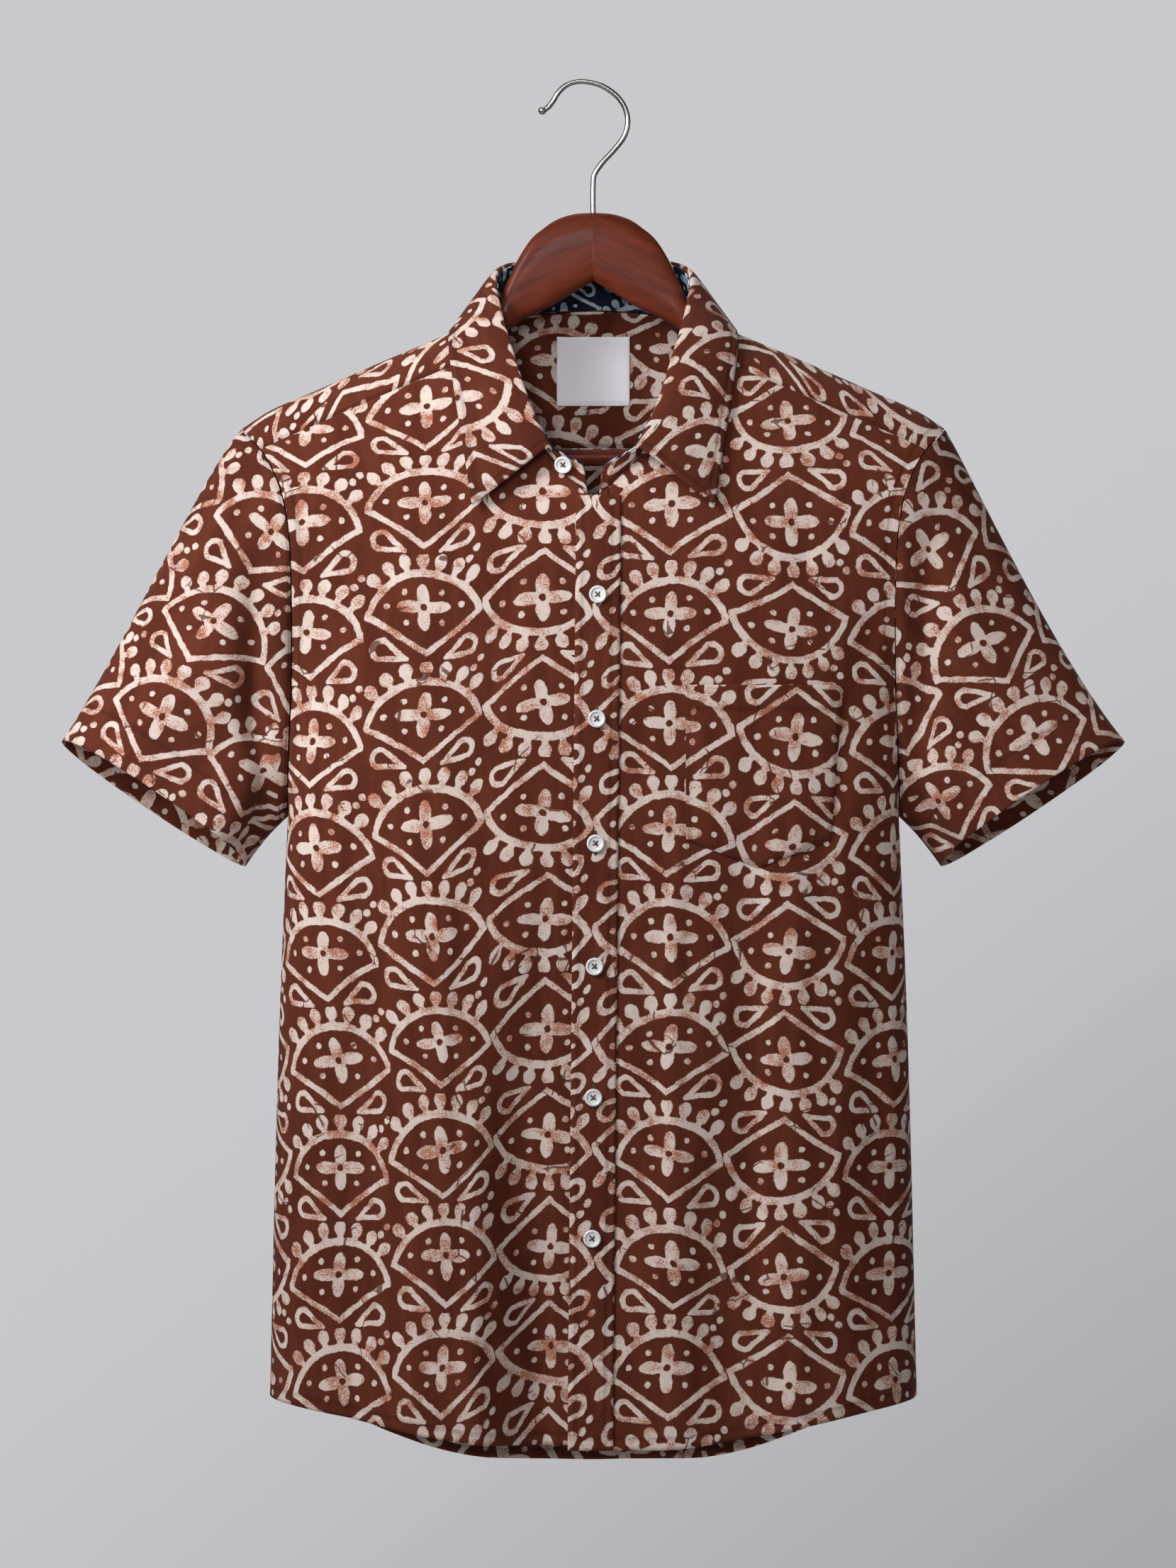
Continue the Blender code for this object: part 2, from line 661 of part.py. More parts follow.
def build_pocket():
    """The chest pocket, the panel's own points moved out: a straight mouth and a pointed foot."""
    shares, heights = front_grid(1)
    first = 1 + FRONT_LEVELS.index(POCKET_CORNER)
    last = 1 + FRONT_LEVELS.index(POCKET_TOP)
    shares, heights = shares[first - 1 : last + 1, 3:9].copy(), heights[first - 1 : last + 1, 3:9].copy()
    x = torso(-1, shares[1], heights[1])[:, 0]
    middle = (x[0] + x[-1]) / 2
    foot = POCKET_POINT + (POCKET_CORNER - POCKET_POINT) * np.abs(x - middle) / (middle - x[0])
    w = (foot - heights[1]) / (heights[0] - heights[1])
    points = torso(-1, shares, heights, lift=LAYER_LIFT)
    points[0] = points[1] * (1 - w[:, None]) + points[0] * w[:, None]
    return cloth_wall("chest_pocket", [points])


def build_label():
    """The bare neck label, the yoke's own points moved in, below the stand."""
    shares, heights, _, _ = yoke_grids()
    centre = len(shares) // 2
    rows = [YOKE_STEPS.index(step) for step in LABEL_ROWS]
    s, z = shares[centre - 2 : centre + 3], heights[rows][:, centre - 2 : centre + 3]
    points = torso(1, s, z, lift=-(CLOTH / 2 + SEAM_GAP + 0.0005))
    return cloth_wall("neck_label", [points], "label_satin", 0.0010)


def build_button(name, centre, normal):
    """A round button with a raised rim, turned from its profile and set on its cloth."""
    r, h = BUTTON_RADIUS, BUTTON_THICK
    profile = ((0.0, h * 0.62), (r * 0.62, h * 0.62), (r * 0.72, h), (r * 0.95, h * 0.9), (r, h * 0.55))
    profile += ((r * 0.8, 0.0), (0.0, 0.0))
    bm = bmesh.new()
    verts = [bm.verts.new((x, 0, z)) for x, z in profile]
    for a, b in zip(verts, verts[1:]):
        bm.edges.new((a, b))
    mesh = bpy.data.meshes.new(name)
    bm.to_mesh(mesh)
    bm.free()
    made = place(name, mesh, "button_shell")
    turn = made.modifiers.new("turn", "SCREW")
    turn.steps = turn.render_steps = 18
    turn.use_merge_vertices = True
    turn.merge_threshold = 0.00005
    normal = np.array(normal, float) / np.linalg.norm(normal)
    tilt = math.atan2(math.hypot(normal[0], normal[1]), normal[2])
    made.rotation_euler = (0, tilt, math.atan2(normal[1], normal[0]))
    made.location = np.array(centre, float)
    return made


def build_buttons():
    """Six buttons down the band and one on the stand's end."""
    seat = LAYER_LIFT + CLOTH / 2 + SEAM_GAP
    for i, z in enumerate(BUTTON_Z):
        z = np.array(z)
        s = share_at(band_centre(z), z)
        build_button(f"button_{i + 1}", torso(-1, s, z, lift=seat), torso_normal(-1, s, z))
    base, top = collar_lines()
    middle = ((base + top) / 2 * (-1, 1, 1))[-3:]
    normal = (collar_outward() * (-1, 1, 1))[-2]
    w = (STAND_BUTTON - middle[0, 0]) / (middle[2, 0] - middle[0, 0])
    centre = middle[0] + (middle[2] - middle[0]) * w
    build_button("button_stand", centre + normal * (CLOTH / 2 + STAND_BUTTON_LIFT), normal)


def build_arm(name, sign, cutters):
    """One half of the wooden hanger: rounded sections along the arm, closed at both ends."""
    stations = np.array([row[0] for row in ARM_TABLE])
    turn = np.arange(14) / 14 * 2 * math.pi
    power = 2 / ARM_SQUARENESS
    c = np.sign(np.cos(turn)) * np.abs(np.cos(turn)) ** power
    s = np.sign(np.sin(turn)) * np.abs(np.sin(turn)) ** power
    bm = bmesh.new()
    rings = []
    for k, x in enumerate(stations):
        _, top, foot, half = ARM_TABLE[k]
        middle, tall = (top + foot) / 2, (top - foot) / 2
        rings.append([bm.verts.new((sign * x, half * a, middle + tall * b)) for a, b in zip(c, s)])
    for one, two in zip(rings, rings[1:]):
        for j in range(len(turn)):
            k = (j + 1) % len(turn)
            bm.faces.new((one[j], one[k], two[k], two[j]))
    bm.faces.new(rings[0])
    bm.faces.new(rings[-1])
    bmesh.ops.recalc_face_normals(bm, faces=bm.faces)
    mesh = bpy.data.meshes.new(name)
    bm.to_mesh(mesh)
    bm.free()
    made = place(name, mesh, "hanger_wood")
    for cutter in cutters:
        cut = made.modifiers.new("cut_" + cutter.name, "BOOLEAN")
        cut.operation = "DIFFERENCE"
        cut.object = cutter
    return made


def build_cylinder(name, radius, start, end, sides, collection):
    """A round bar between two points that lie along X or Z."""
    start, end = np.array(start, float), np.array(end, float)
    bpy.ops.mesh.primitive_cylinder_add(
        vertices=sides, radius=radius, depth=float(np.linalg.norm(end - start))
    )
    made = bpy.context.object
    made.name = made.data.name = name
    made.location = (start + end) / 2
    if abs(end[0] - start[0]) > 1e-6:
        made.rotation_euler = (0, math.pi / 2, 0)
    for holder in list(made.users_collection):
        holder.objects.unlink(made)
    bpy.data.collections[collection].objects.link(made)
    return made


def build_hanger():
    """Two wooden halves, the bar between them and the wire hook in its hole."""
    foot = STEM_FOOT - SOCKET_CLEARANCE
    end = BAR_END + SOCKET_CLEARANCE
    stem_radius = WIRE_RADIUS + SOCKET_CLEARANCE
    bar_radius = BAR_RADIUS + SOCKET_CLEARANCE
    stem = build_cylinder("hole_stem", stem_radius, (0, 0, foot), (0, 0, -0.05), 12, "cutters")
    socket = build_cylinder("hole_bar", bar_radius, (-end, 0, BAR_Z), (end, 0, BAR_Z), 20, "cutters")
    for cutter in (stem, socket):
        cutter.hide_render = True
        cutter.display_type = "WIRE"
    build_arm("hanger_arm_right", -1, (stem, socket))
    build_arm("hanger_arm_left", 1, (stem, socket))
    bar = build_cylinder("hanger_bar", BAR_RADIUS, (-BAR_END, 0, BAR_Z), (BAR_END, 0, BAR_Z), 20, "hung_shirt")
    bar.data.materials.append(material("hanger_wood"))
    build_hook()


def build_hook():
    """The wire hook: one bent wire that swells to a small ball at its tip."""
    dense = along([(x, 0, z) for x, z in HOOK_PATH], np.linspace(0, 1, 400))
    total = float(np.sum(np.linalg.norm(np.diff(dense, axis=0), axis=1)))
    ball_start = 1 - 2 * BALL_RADIUS / total
    ball_turn = np.linspace(0, math.pi, 8)[1:]
    along_ball = 1 - (1 + np.cos(ball_turn)) * BALL_RADIUS / total
    fractions = np.concatenate([np.linspace(0, ball_start, 46), along_ball])
    path = evenly(dense, fractions)
    ball = BALL_RADIUS * np.sin(ball_turn) / WIRE_RADIUS
    swell = np.concatenate([np.ones(46), np.maximum(ball, [1, 1, 0, 0, 0, 0, BALL_FLAT])])
    curve = bpy.data.curves.new("hanger_hook", "CURVE")
    curve.dimensions = "3D"
    curve.bevel_depth = WIRE_RADIUS
    curve.bevel_resolution = 2
    curve.use_fill_caps = True
    line = curve.splines.new("POLY")
    line.points.add(len(path) - 1)
    for point, place_at, radius in zip(line.points, path, swell):
        point.co = (*place_at, 1)
        point.radius = radius
    made = bpy.data.objects.new("hanger_hook", curve)
    bpy.data.collections["hung_shirt"].objects.link(made)
    made.data.materials.append(material("hook_steel"))
    return made


def main():
    for old in list(bpy.data.objects):
        bpy.data.objects.remove(old)
    for name in ("hung_shirt", "cutters"):
        bpy.context.scene.collection.children.link(bpy.data.collections.new(name))
    build_front("front_right", -1)
    build_front("front_left", 1)
    build_back()
    build_yoke()
    build_sleeve("sleeve_right", -1)
    build_sleeve("sleeve_left", 1)
    build_stand("collar_stand", "shirt_cloth", 0.0, CLOTH)
    build_stand("collar_stand_lining", "stand_lining", CLOTH / 2 + 2 * SEAM_GAP + 0.0005, 0.0010)
    build_leaf()
    build_band()
    build_pocket()
    build_label()
    build_buttons()
    build_hanger()


main()
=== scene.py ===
# %% [markdown]
# # A block-printed short-sleeve shirt on a wooden hanger
#
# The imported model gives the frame: the hook's arc is at the origin, Z is up and the shirt's front
# looks towards -Y. This script dresses it. The cloth solids are replaced by thin shells that
# follow the same pattern sizes, with finer folds, and the cloth gets its print, weave and sewing.
# The wood and the wire get finer forms on the same sizes.

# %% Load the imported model
import math

import bmesh
import bpy
import numpy as np
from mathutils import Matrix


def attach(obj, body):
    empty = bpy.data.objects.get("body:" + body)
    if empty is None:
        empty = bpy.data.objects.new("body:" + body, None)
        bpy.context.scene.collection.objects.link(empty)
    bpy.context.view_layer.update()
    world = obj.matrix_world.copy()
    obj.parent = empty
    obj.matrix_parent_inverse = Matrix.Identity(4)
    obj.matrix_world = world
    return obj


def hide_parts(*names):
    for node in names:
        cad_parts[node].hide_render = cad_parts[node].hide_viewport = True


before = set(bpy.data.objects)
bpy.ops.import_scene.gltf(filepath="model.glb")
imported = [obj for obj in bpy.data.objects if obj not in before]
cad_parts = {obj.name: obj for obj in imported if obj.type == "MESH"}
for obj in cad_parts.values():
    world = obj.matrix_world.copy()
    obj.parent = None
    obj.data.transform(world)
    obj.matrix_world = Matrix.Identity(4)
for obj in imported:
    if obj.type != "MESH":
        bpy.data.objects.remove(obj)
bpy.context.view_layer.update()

# %% [markdown]
# ## The pattern's sizes
#
# A shirt is drafted from a few measures: where the hem, underarm and neck lie, how wide the body
# is at each level, and how the shoulder slopes. A surface can be drafted the same way, so that
# every panel and everything sewn on it comes from one set of numbers.

# %% Named sizes, in metres from the rail
SHELL = 0.0007
SEAM_GAP = 0.00004
LAYER_LIFT = 0.0015
Z_UNDERARM = -0.481
Z_SIDE_HEM = -0.861
Z_FRONT_NECK = -0.274
Z_BACK_NECK = -0.146
Z_BACK_YOKE = -0.235
Z_NECK_POINT = -0.1565
Z_CHEST = -0.306
FRONT_TAIL = 0.0285
BACK_TAIL = 0.054
YOKE_DROP = 0.025
SQUARENESS = 3.0
FRONT_DEPTH = 0.070
BACK_DEPTH = 0.068
FRONT_ROUNDING = 0.0614
BACK_ROUNDING = 0.034
ROUNDING_POWER = 0.645
ARMHOLE_SHARE = 0.86
ARMHOLE_RISE = 0.30
ARMHOLE_SINK = 0.26
SHOULDER_TIP = 0.231
NECK_HALF = 0.078
NECK_POWER = 1.4
NECK_MIDDLE = -0.012
STAND_END = 0.004
LAST_SHARE = 1 - SEAM_GAP / 0.48

# Height of the shoulder line: x, z
RIDGE = (
    (0.000, -0.1290), (0.015, -0.1298), (0.045, -0.1415), (0.078, Z_NECK_POINT), (0.094, -0.1635),
    (0.143, -0.1842), (0.184, -0.2022), (0.215, -0.2160), (0.231, -0.2265),
)
# Half width of the body: z, half width
HALF_WIDTH = (
    (-0.930, 0.2145), (-0.866, 0.2125), (-0.700, 0.2085), (-0.600, 0.2055), (-0.520, 0.2022),
    (-0.481, 0.2005), (-0.435, 0.1985), (-0.390, 0.1968), (-0.340, 0.1962), (-0.300, 0.1975),
    (-0.275, 0.2015), (-0.255, 0.2090), (-0.240, 0.2185), (-0.2265, SHOULDER_TIP),
    (-0.100, SHOULDER_TIP),
)
# Broad hanging folds: x at the chest, x at the hem, half width, height out, z where it starts
FRONT_FOLDS = (
    (-0.148, -0.155, 0.019, -0.0052, -0.42),
    (-0.105, -0.108, 0.020, 0.0046, -0.38),
    (-0.055, -0.045, 0.020, -0.0060, -0.52),
    (0.060, 0.054, 0.020, 0.0040, -0.52),
    (0.100, 0.098, 0.017, -0.0044, -0.50),
    (0.145, 0.150, 0.019, 0.0036, -0.48),
)
BACK_FOLDS = (
    (-0.135, -0.145, 0.022, -0.0045, -0.34),
    (-0.075, -0.085, 0.024, 0.0050, -0.30),
    (0.010, 0.000, 0.022, -0.0040, -0.36),
    (0.080, 0.088, 0.024, 0.0045, -0.32),
    (0.140, 0.150, 0.020, -0.0040, -0.38),
)
FOLD_LENGTH = 0.25
# Small creases: x and z of one end, x and z of the other, half width, height out
FRONT_CREASES = (
    (-0.080, -0.560, -0.078, -0.960, 0.014, 0.0042),
    (-0.101, -0.430, -0.100, -0.840, 0.011, 0.0024),
    (-0.128, -0.450, -0.132, -0.720, 0.010, -0.0020),
    (-0.148, -0.430, -0.150, -0.760, 0.011, -0.0034),
    (-0.185, -0.420, -0.186, -0.800, 0.013, 0.0024),
    (-0.148, -0.680, -0.160, -0.940, 0.012, -0.0030),
    (-0.120, -0.700, -0.124, -0.940, 0.010, 0.0020),
    (-0.186, -0.330, -0.150, -0.440, 0.009, -0.0022),
    (-0.180, -0.390, -0.138, -0.540, 0.009, -0.0018),
    (-0.150, -0.230, -0.128, -0.360, 0.010, -0.0016),
    (-0.118, -0.255, -0.112, -0.420, 0.009, 0.0014),
    (-0.060, -0.300, -0.070, -0.480, 0.011, -0.0014),
    (-0.040, -0.420, -0.046, -0.640, 0.011, 0.0012),
    (0.030, -0.330, 0.030, -0.500, 0.009, -0.0010),
    (0.034, -0.520, 0.036, -0.800, 0.010, -0.0022),
    (0.057, -0.420, 0.056, -0.860, 0.012, 0.0026),
    (0.078, -0.640, 0.074, -0.940, 0.010, -0.0020),
    (0.101, -0.410, 0.103, -0.820, 0.012, -0.0034),
    (0.132, -0.440, 0.134, -0.680, 0.012, 0.0026),
    (0.126, -0.660, 0.128, -0.930, 0.012, 0.0024),
    (0.152, -0.600, 0.156, -0.900, 0.010, -0.0016),
    (0.182, -0.500, 0.187, -0.880, 0.012, -0.0042),
    (0.188, -0.330, 0.156, -0.430, 0.009, -0.0022),
    (0.184, -0.395, 0.146, -0.520, 0.009, -0.0018),
    (0.146, -0.230, 0.128, -0.350, 0.010, -0.0015),
    (0.172, -0.235, 0.176, -0.330, 0.009, 0.0013),
    (0.096, -0.285, 0.070, -0.400, 0.010, -0.0013),
)
BACK_CREASES = (
    (-0.160, -0.250, -0.150, -0.560, 0.012, 0.0018),
    (-0.110, -0.240, -0.108, -0.480, 0.011, -0.0020),
    (-0.052, -0.300, -0.060, -0.700, 0.013, 0.0018),
    (-0.030, -0.420, -0.036, -0.900, 0.012, -0.0022),
    (0.040, -0.260, 0.034, -0.560, 0.012, -0.0018),
    (0.066, -0.480, 0.070, -0.930, 0.014, 0.0020),
    (0.112, -0.300, 0.116, -0.720, 0.012, -0.0022),
    (0.165, -0.260, 0.158, -0.600, 0.012, 0.0018),
    (0.178, -0.500, 0.190, -0.880, 0.012, -0.0022),
    (-0.180, -0.480, -0.188, -0.900, 0.012, -0.0022),
    (-0.120, -0.620, -0.122, -0.940, 0.012, 0.0018),
    (0.020, -0.660, 0.018, -0.960, 0.012, 0.0018),
    (0.190, -0.330, 0.150, -0.450, 0.010, -0.0016),
    (-0.190, -0.330, -0.150, -0.450, 0.010, -0.0016),
)

# %% [markdown]
# ## Curves and the body's surface
#
# The body is one surface for the front and one for the back: a squared oval whose half width
# comes from a table and whose depth grows below the shoulder line. It could be one grid moulded
# by hand, but a formula lets each panel, pocket and stitch be placed on it exactly.


# %% Smooth curves through tables
def smooth_curve(table, at, column=1):
    """A cubic through each pair of rows, with the slope at a row the mean of its two sides."""
    rows = np.array(table, float)
    x, y = rows[:, 0], rows[:, column]
    step = np.diff(y) / np.diff(x)
    slope = np.concatenate([[step[0]], (step[1:] + step[:-1]) / 2, [step[-1]]])
    at = np.clip(np.asarray(at, float), x[0], x[-1])
    k = np.clip(np.searchsorted(x, at, side="right") - 1, 0, len(x) - 2)
    width = x[k + 1] - x[k]
    t = (at - x[k]) / width
    return (
        y[k] * (1 + 2 * t) * (1 - t) ** 2
        + slope[k] * width * t * (1 - t) ** 2
        + y[k + 1] * t * t * (3 - 2 * t)
        - slope[k + 1] * width * t * t * (1 - t)
    )


def evenly(dense, fractions):
    """Points at the given fractions of the length of a dense run of points."""
    steps = np.linalg.norm(np.diff(dense, axis=0), axis=1)
    length = np.concatenate([[0], np.cumsum(steps)])
    length /= length[-1]
    return np.stack([np.interp(fractions, length, dense[:, i]) for i in range(dense.shape[1])], 1)


def along(points, fractions):
    """Points at the given fractions of the length of a smooth curve through a few points."""
    points = np.array(points, float)
    steps = np.linalg.norm(np.diff(points, axis=0), axis=1)
    stations = np.concatenate([[0], np.cumsum(steps)])
    fine = np.linspace(0, stations[-1], 3000)
    dense = [smooth_curve(np.stack([stations, points[:, i]], 1), fine) for i in range(points.shape[1])]
    return evenly(np.stack(dense, 1), fractions)


def soft_step(t):
    """0 to 1 with level ends: 3 t squared minus 2 t cubed, held between its ends."""
    t = np.clip(t, 0, 1)
    return t * t * (3 - 2 * t)


# %% The squared oval, and the folds on it
def section_table():
    """Shares of the half width and the depth, sin and cos to the power 2/3, at even steps of length."""
    angle = np.linspace(0, math.pi / 2, 600)
    a = np.sin(angle) ** (2 / SQUARENESS)
    b = np.cos(angle) ** (2 / SQUARENESS)
    run = np.stack([a * 0.205, b * FRONT_DEPTH], 1)
    length = np.concatenate([[0], np.cumsum(np.linalg.norm(np.diff(run, axis=0), axis=1))])
    return length / length[-1], a, b


SECTION = section_table()


def fold_height(folds, x, z):
    """Sum of broad folds: a bell across, growing from nothing below the height where it starts."""
    total = np.zeros(np.broadcast(x, z).shape)
    for chest_x, hem_x, half, height, start in folds:
        share = np.clip((start - z) / FOLD_LENGTH, 0, 1)
        centre = chest_x + (hem_x - chest_x) * share
        total += height * soft_step(share) * np.exp(-(((x - centre) / half) ** 2))
    return total


def crease_height(creases, x, z):
    """Sum of short creases: a bell across a slightly bowed line, fading out at both ends."""
    total = np.zeros(np.broadcast(x, z).shape)
    for i, (x0, z0, x1, z1, half, height) in enumerate(creases):
        dx, dz = x1 - x0, z1 - z0
        length = math.hypot(dx, dz)
        t = ((x - x0) * dx + (z - z0) * dz) / length**2
        bow = 0.006 * math.sin(2.4 * i) * np.sin(math.pi * np.clip(t, 0, 1))
        off = ((x - x0) * dz - (z - z0) * dx) / length + bow
        wide = half * (1 + 0.30 * np.tanh(off / half) + 0.25 * np.sin(7 * t + i))
        total += height * soft_step(t * 3.2) * soft_step((1 - t) * 3.2) * np.exp(-((off / wide) ** 2))
    return total


def torso(side, s, z, lift=0.0):
    """Body surface: side -1 is the front and 1 the back, s runs from -1 to 1 across, z is the height.

    The depth is 1 - exp(-(drop / rounding) ** power) of its full value at a drop below the
    shoulder line, and falls off to the sides as the squared oval. Folds and creases are added.
    """
    s, z = np.broadcast_arrays(np.asarray(s, float), np.asarray(z, float))
    a = np.interp(np.abs(s), SECTION[0], SECTION[1])
    b = np.interp(np.abs(s), SECTION[0], SECTION[2])
    x = np.sign(s) * smooth_curve(HALF_WIDTH, z) * a
    drop = np.maximum(smooth_curve(RIDGE, np.abs(x)) - z, 0)
    depth, rounding, folds, creases = (
        (FRONT_DEPTH, FRONT_ROUNDING, FRONT_FOLDS, FRONT_CREASES)
        if side < 0
        else (BACK_DEPTH, BACK_ROUNDING, BACK_FOLDS, BACK_CREASES)
    )
    reach = depth * (1 - np.exp(-((drop / rounding) ** ROUNDING_POWER)))
    up = np.clip((z - Z_UNDERARM) / (RIDGE[-1][1] - Z_UNDERARM) / ARMHOLE_RISE, 0, 1)
    edge = ARMHOLE_SHARE * np.sqrt(1 - (1 - up) ** 2)
    if side < 0:
        edge = edge * (1 - ARMHOLE_SINK * (soft_step((-0.262 - z) / 0.11) + soft_step((-0.340 - z) / 0.07)))
    height = fold_height(folds, x, z) + crease_height(creases, x, z) * soft_step(drop / 0.06)
    y = reach * (b**4 + edge**4 * (1 - b**4)) ** 0.25 + height * b
    points = np.stack([x, side * y, z], -1)
    if np.any(lift):
        points = points + np.asarray(lift)[..., None] * torso_normal(side, s, z)
    return points


def torso_normal(side, s, z):
    """Outward unit normal of the body surface, from small steps each way."""
    ds = torso(side, s + 1e-3, z) - torso(side, s - 1e-3, z)
    dz = torso(side, s, z + 1e-4) - torso(side, s, z - 1e-4)
    normal = np.cross(ds, dz) * (1 if side < 0 else -1)
    return normal / np.linalg.norm(normal, axis=-1, keepdims=True)


def share_at(x, z):
    """The s at which the body surface at height z is at this x."""
    a = np.clip(np.abs(x) / smooth_curve(HALF_WIDTH, z), 0, 1)
    return np.sign(x) * np.interp(a, SECTION[1], SECTION[0])


print("front at the chest:", torso(-1, 0.3, -0.45).round(4), "back:", torso(1, 0.3, -0.45).round(4))

# %% [markdown]
# ## Seam lines
#
# Each panel ends on a seam: the neckline is a rounded V, the yoke seam lies a fixed drop below
# the shoulder line, and the hem dips at the front and the back. They are functions of s.

# %% Neckline, shoulder line and hem
NECK_S = float(share_at(NECK_HALF, Z_NECK_POINT))


def ridge_level(s, drop=0.0):
    """Height of the line a drop below the shoulder line, found by repeated half steps."""
    z = np.full(np.shape(s), -0.2)
    for _ in range(40):
        x = np.interp(np.abs(s), SECTION[0], SECTION[1]) * smooth_curve(HALF_WIDTH, z)
        z = 0.5 * z + 0.5 * (smooth_curve(RIDGE, x) - drop)
    return z


def neck_level(s):
    """Height of the front neckline: a rounded V from the front centre up to the shoulder."""
    rise = 1 - (1 - np.clip(np.abs(s) / NECK_S, 0, 1) ** NECK_POWER) ** (1 / NECK_POWER)
    return Z_FRONT_NECK + (Z_NECK_POINT - Z_FRONT_NECK) * rise


def neck_share(z):
    """The s of the front neckline at height z, the inverse of neck_level."""
    rise = np.clip((z - Z_FRONT_NECK) / (Z_NECK_POINT - Z_FRONT_NECK), 0, 1)
    return NECK_S * (1 - (1 - rise) ** NECK_POWER) ** (1 / NECK_POWER)


def back_neck_level(s):
    """Height of the back neckline: a shallow arc from the centre down to the shoulder."""
    fall = 1 - np.cos(np.clip(np.abs(s) / NECK_S, 0, 1) * math.pi / 2)
    return Z_BACK_NECK + (ridge_level(np.array(NECK_S)) - Z_BACK_NECK) * fall


def hem_level(side, s):
    """Height of the hem: low across the middle, rising to the side seams."""
    tail = FRONT_TAIL if side < 0 else BACK_TAIL
    flat, curve = (0.12, 0.86) if side < 0 else (0.26, 0.71)
    return Z_SIDE_HEM - tail * (1 - soft_step((np.abs(s) - flat) / curve))


def corner_share():
    """The s where the front neckline meets the yoke seam."""
    s = np.linspace(0.2, 1, 4000) * NECK_S
    gap = neck_level(s) - ridge_level(s, YOKE_DROP)
    return float(s[np.argmin(np.abs(gap))])


CORNER_S = corner_share()
print("neck point at s", round(NECK_S, 3), "yoke corner at s", round(CORNER_S, 3))

# %% [markdown]
# ## From a grid of points to a piece of cloth
#
# A piece of cloth is a grid of points with two more things on it: the threads' own measure, so
# that a print lies on the cloth as it was printed, and how far each point is from the nearest
# line of stitches. The first is kept as a UV map in metres and the second as an attribute. A
# Solidify modifier then gives the shell its thickness.


# %% Meshes from grids
def grid_faces(rows, columns, ring=False):
    """Corner numbers of each face of a grid, along its row first and then up its column."""
    i = np.arange(rows - 1)[:, None]
    j = np.arange(columns if ring else columns - 1)[None, :]
    k = (j + 1) % columns
    corners = [i * columns + j, i * columns + k, (i + 1) * columns + k, (i + 1) * columns + j]
    return np.stack(corners, -1).reshape(-1, 4)


def merge_close(mesh, distance):
    """Merges points closer than a distance, so that poles and shared borders are closed."""
    bm = bmesh.new()
    bm.from_mesh(mesh)
    bmesh.ops.remove_doubles(bm, verts=bm.verts, dist=distance)
    bmesh.ops.recalc_face_normals(bm, faces=bm.faces)
    bm.to_mesh(mesh)
    bm.free()


def new_mesh(name, points, faces, merge=0.0):
    """A smooth mesh object from arrays of points and faces, linked to the scene."""
    mesh = bpy.data.meshes.new(name)
    mesh.from_pydata(points.reshape(-1, 3).tolist(), [], faces.tolist())
    if merge:
        merge_close(mesh, merge)
    mesh.polygons.foreach_set("use_smooth", np.full(len(mesh.polygons), True))
    mesh.update()
    made = bpy.data.objects.new(name, mesh)
    bpy.context.scene.collection.objects.link(made)
    return made


def grid_piece(name, grids, flip=False, ring=False):
    """One mesh from grids that share their borders: each a tuple of points, cloth and stitch distance.

    cloth holds the place on the flat cloth in metres; in a ring it has one column more than the
    points, so that the last face reads on past the seam. Faces turn the other way with flip.
    """
    points, faces, cloth, sewn, start = [], [], [], [], 0
    for grid, flat, stitch in grids:
        rows, columns = grid.shape[:2]
        square = grid_faces(rows, columns, ring)
        wide = columns + 1 if ring else columns
        flat_square = grid_faces(rows, wide)
        if flip:
            square, flat_square = square[:, ::-1], flat_square[:, ::-1]
        points.append(grid.reshape(-1, 3))
        faces.append(square + start)
        cloth.append(flat.reshape(-1, 2)[flat_square])
        sewn.append(stitch.reshape(-1))
        start += rows * columns
    made = new_mesh(name, np.concatenate(points), np.concatenate(faces))
    layer = made.data.uv_layers.new(name="cloth")
    layer.data.foreach_set("uv", np.concatenate(cloth).astype(np.float32).ravel())
    line = made.data.attributes.new("stitch_line", "FLOAT", "POINT")
    line.data.foreach_set("value", np.concatenate(sewn).astype(np.float32))
    if len(grids) > 1:
        facing = made.data.polygons[0].normal.copy()
        merge_close(made.data, 1e-5)
        if made.data.polygons[0].normal.dot(facing) < 0:
            made.data.flip_normals()
    return made


def thicken(piece, thickness=SHELL):
    """Gives a shell its thickness about its middle; the inner face takes the second material."""
    wall = piece.modifiers.new("cloth thickness", "SOLIDIFY")
    wall.thickness = thickness
    wall.offset = 0
    wall.use_even_offset = False
    wall.material_offset = 1
    return piece


# %% Measures on a grid
def run_length(grid, axis):
    """Length along the grid from its first row or column to each point."""
    step = np.linalg.norm(np.diff(grid, axis=axis), axis=-1)
    zero = np.zeros_like(step.take([0], axis))
    return np.concatenate([zero, np.cumsum(step, axis)], axis)


def edge_distance(grid, edge):
    """Distance from one edge of the grid, measured on the cloth: first_row, last_row and so on."""
    axis = 0 if edge.endswith("row") else 1
    length = run_length(grid, axis)
    return length if edge.startswith("first") else length.take([-1], axis) - length


def nearest_line(grid, lines):
    """Signed distance to the nearest of the lines, each a named edge and how far in it lies."""
    gaps = np.stack([edge_distance(grid, edge) - inset for edge, inset in lines])
    pick = np.abs(gaps).argmin(0)
    return np.take_along_axis(gaps, pick[None], 0)[0]


def grid_normals(grid, flip=False):
    """Unit normals at the grid's points: across the row's direction and the column's."""
    normal = np.cross(np.gradient(grid, axis=1), np.gradient(grid, axis=0)) * (-1 if flip else 1)
    return normal / np.maximum(np.linalg.norm(normal, axis=-1, keepdims=True), 1e-12)


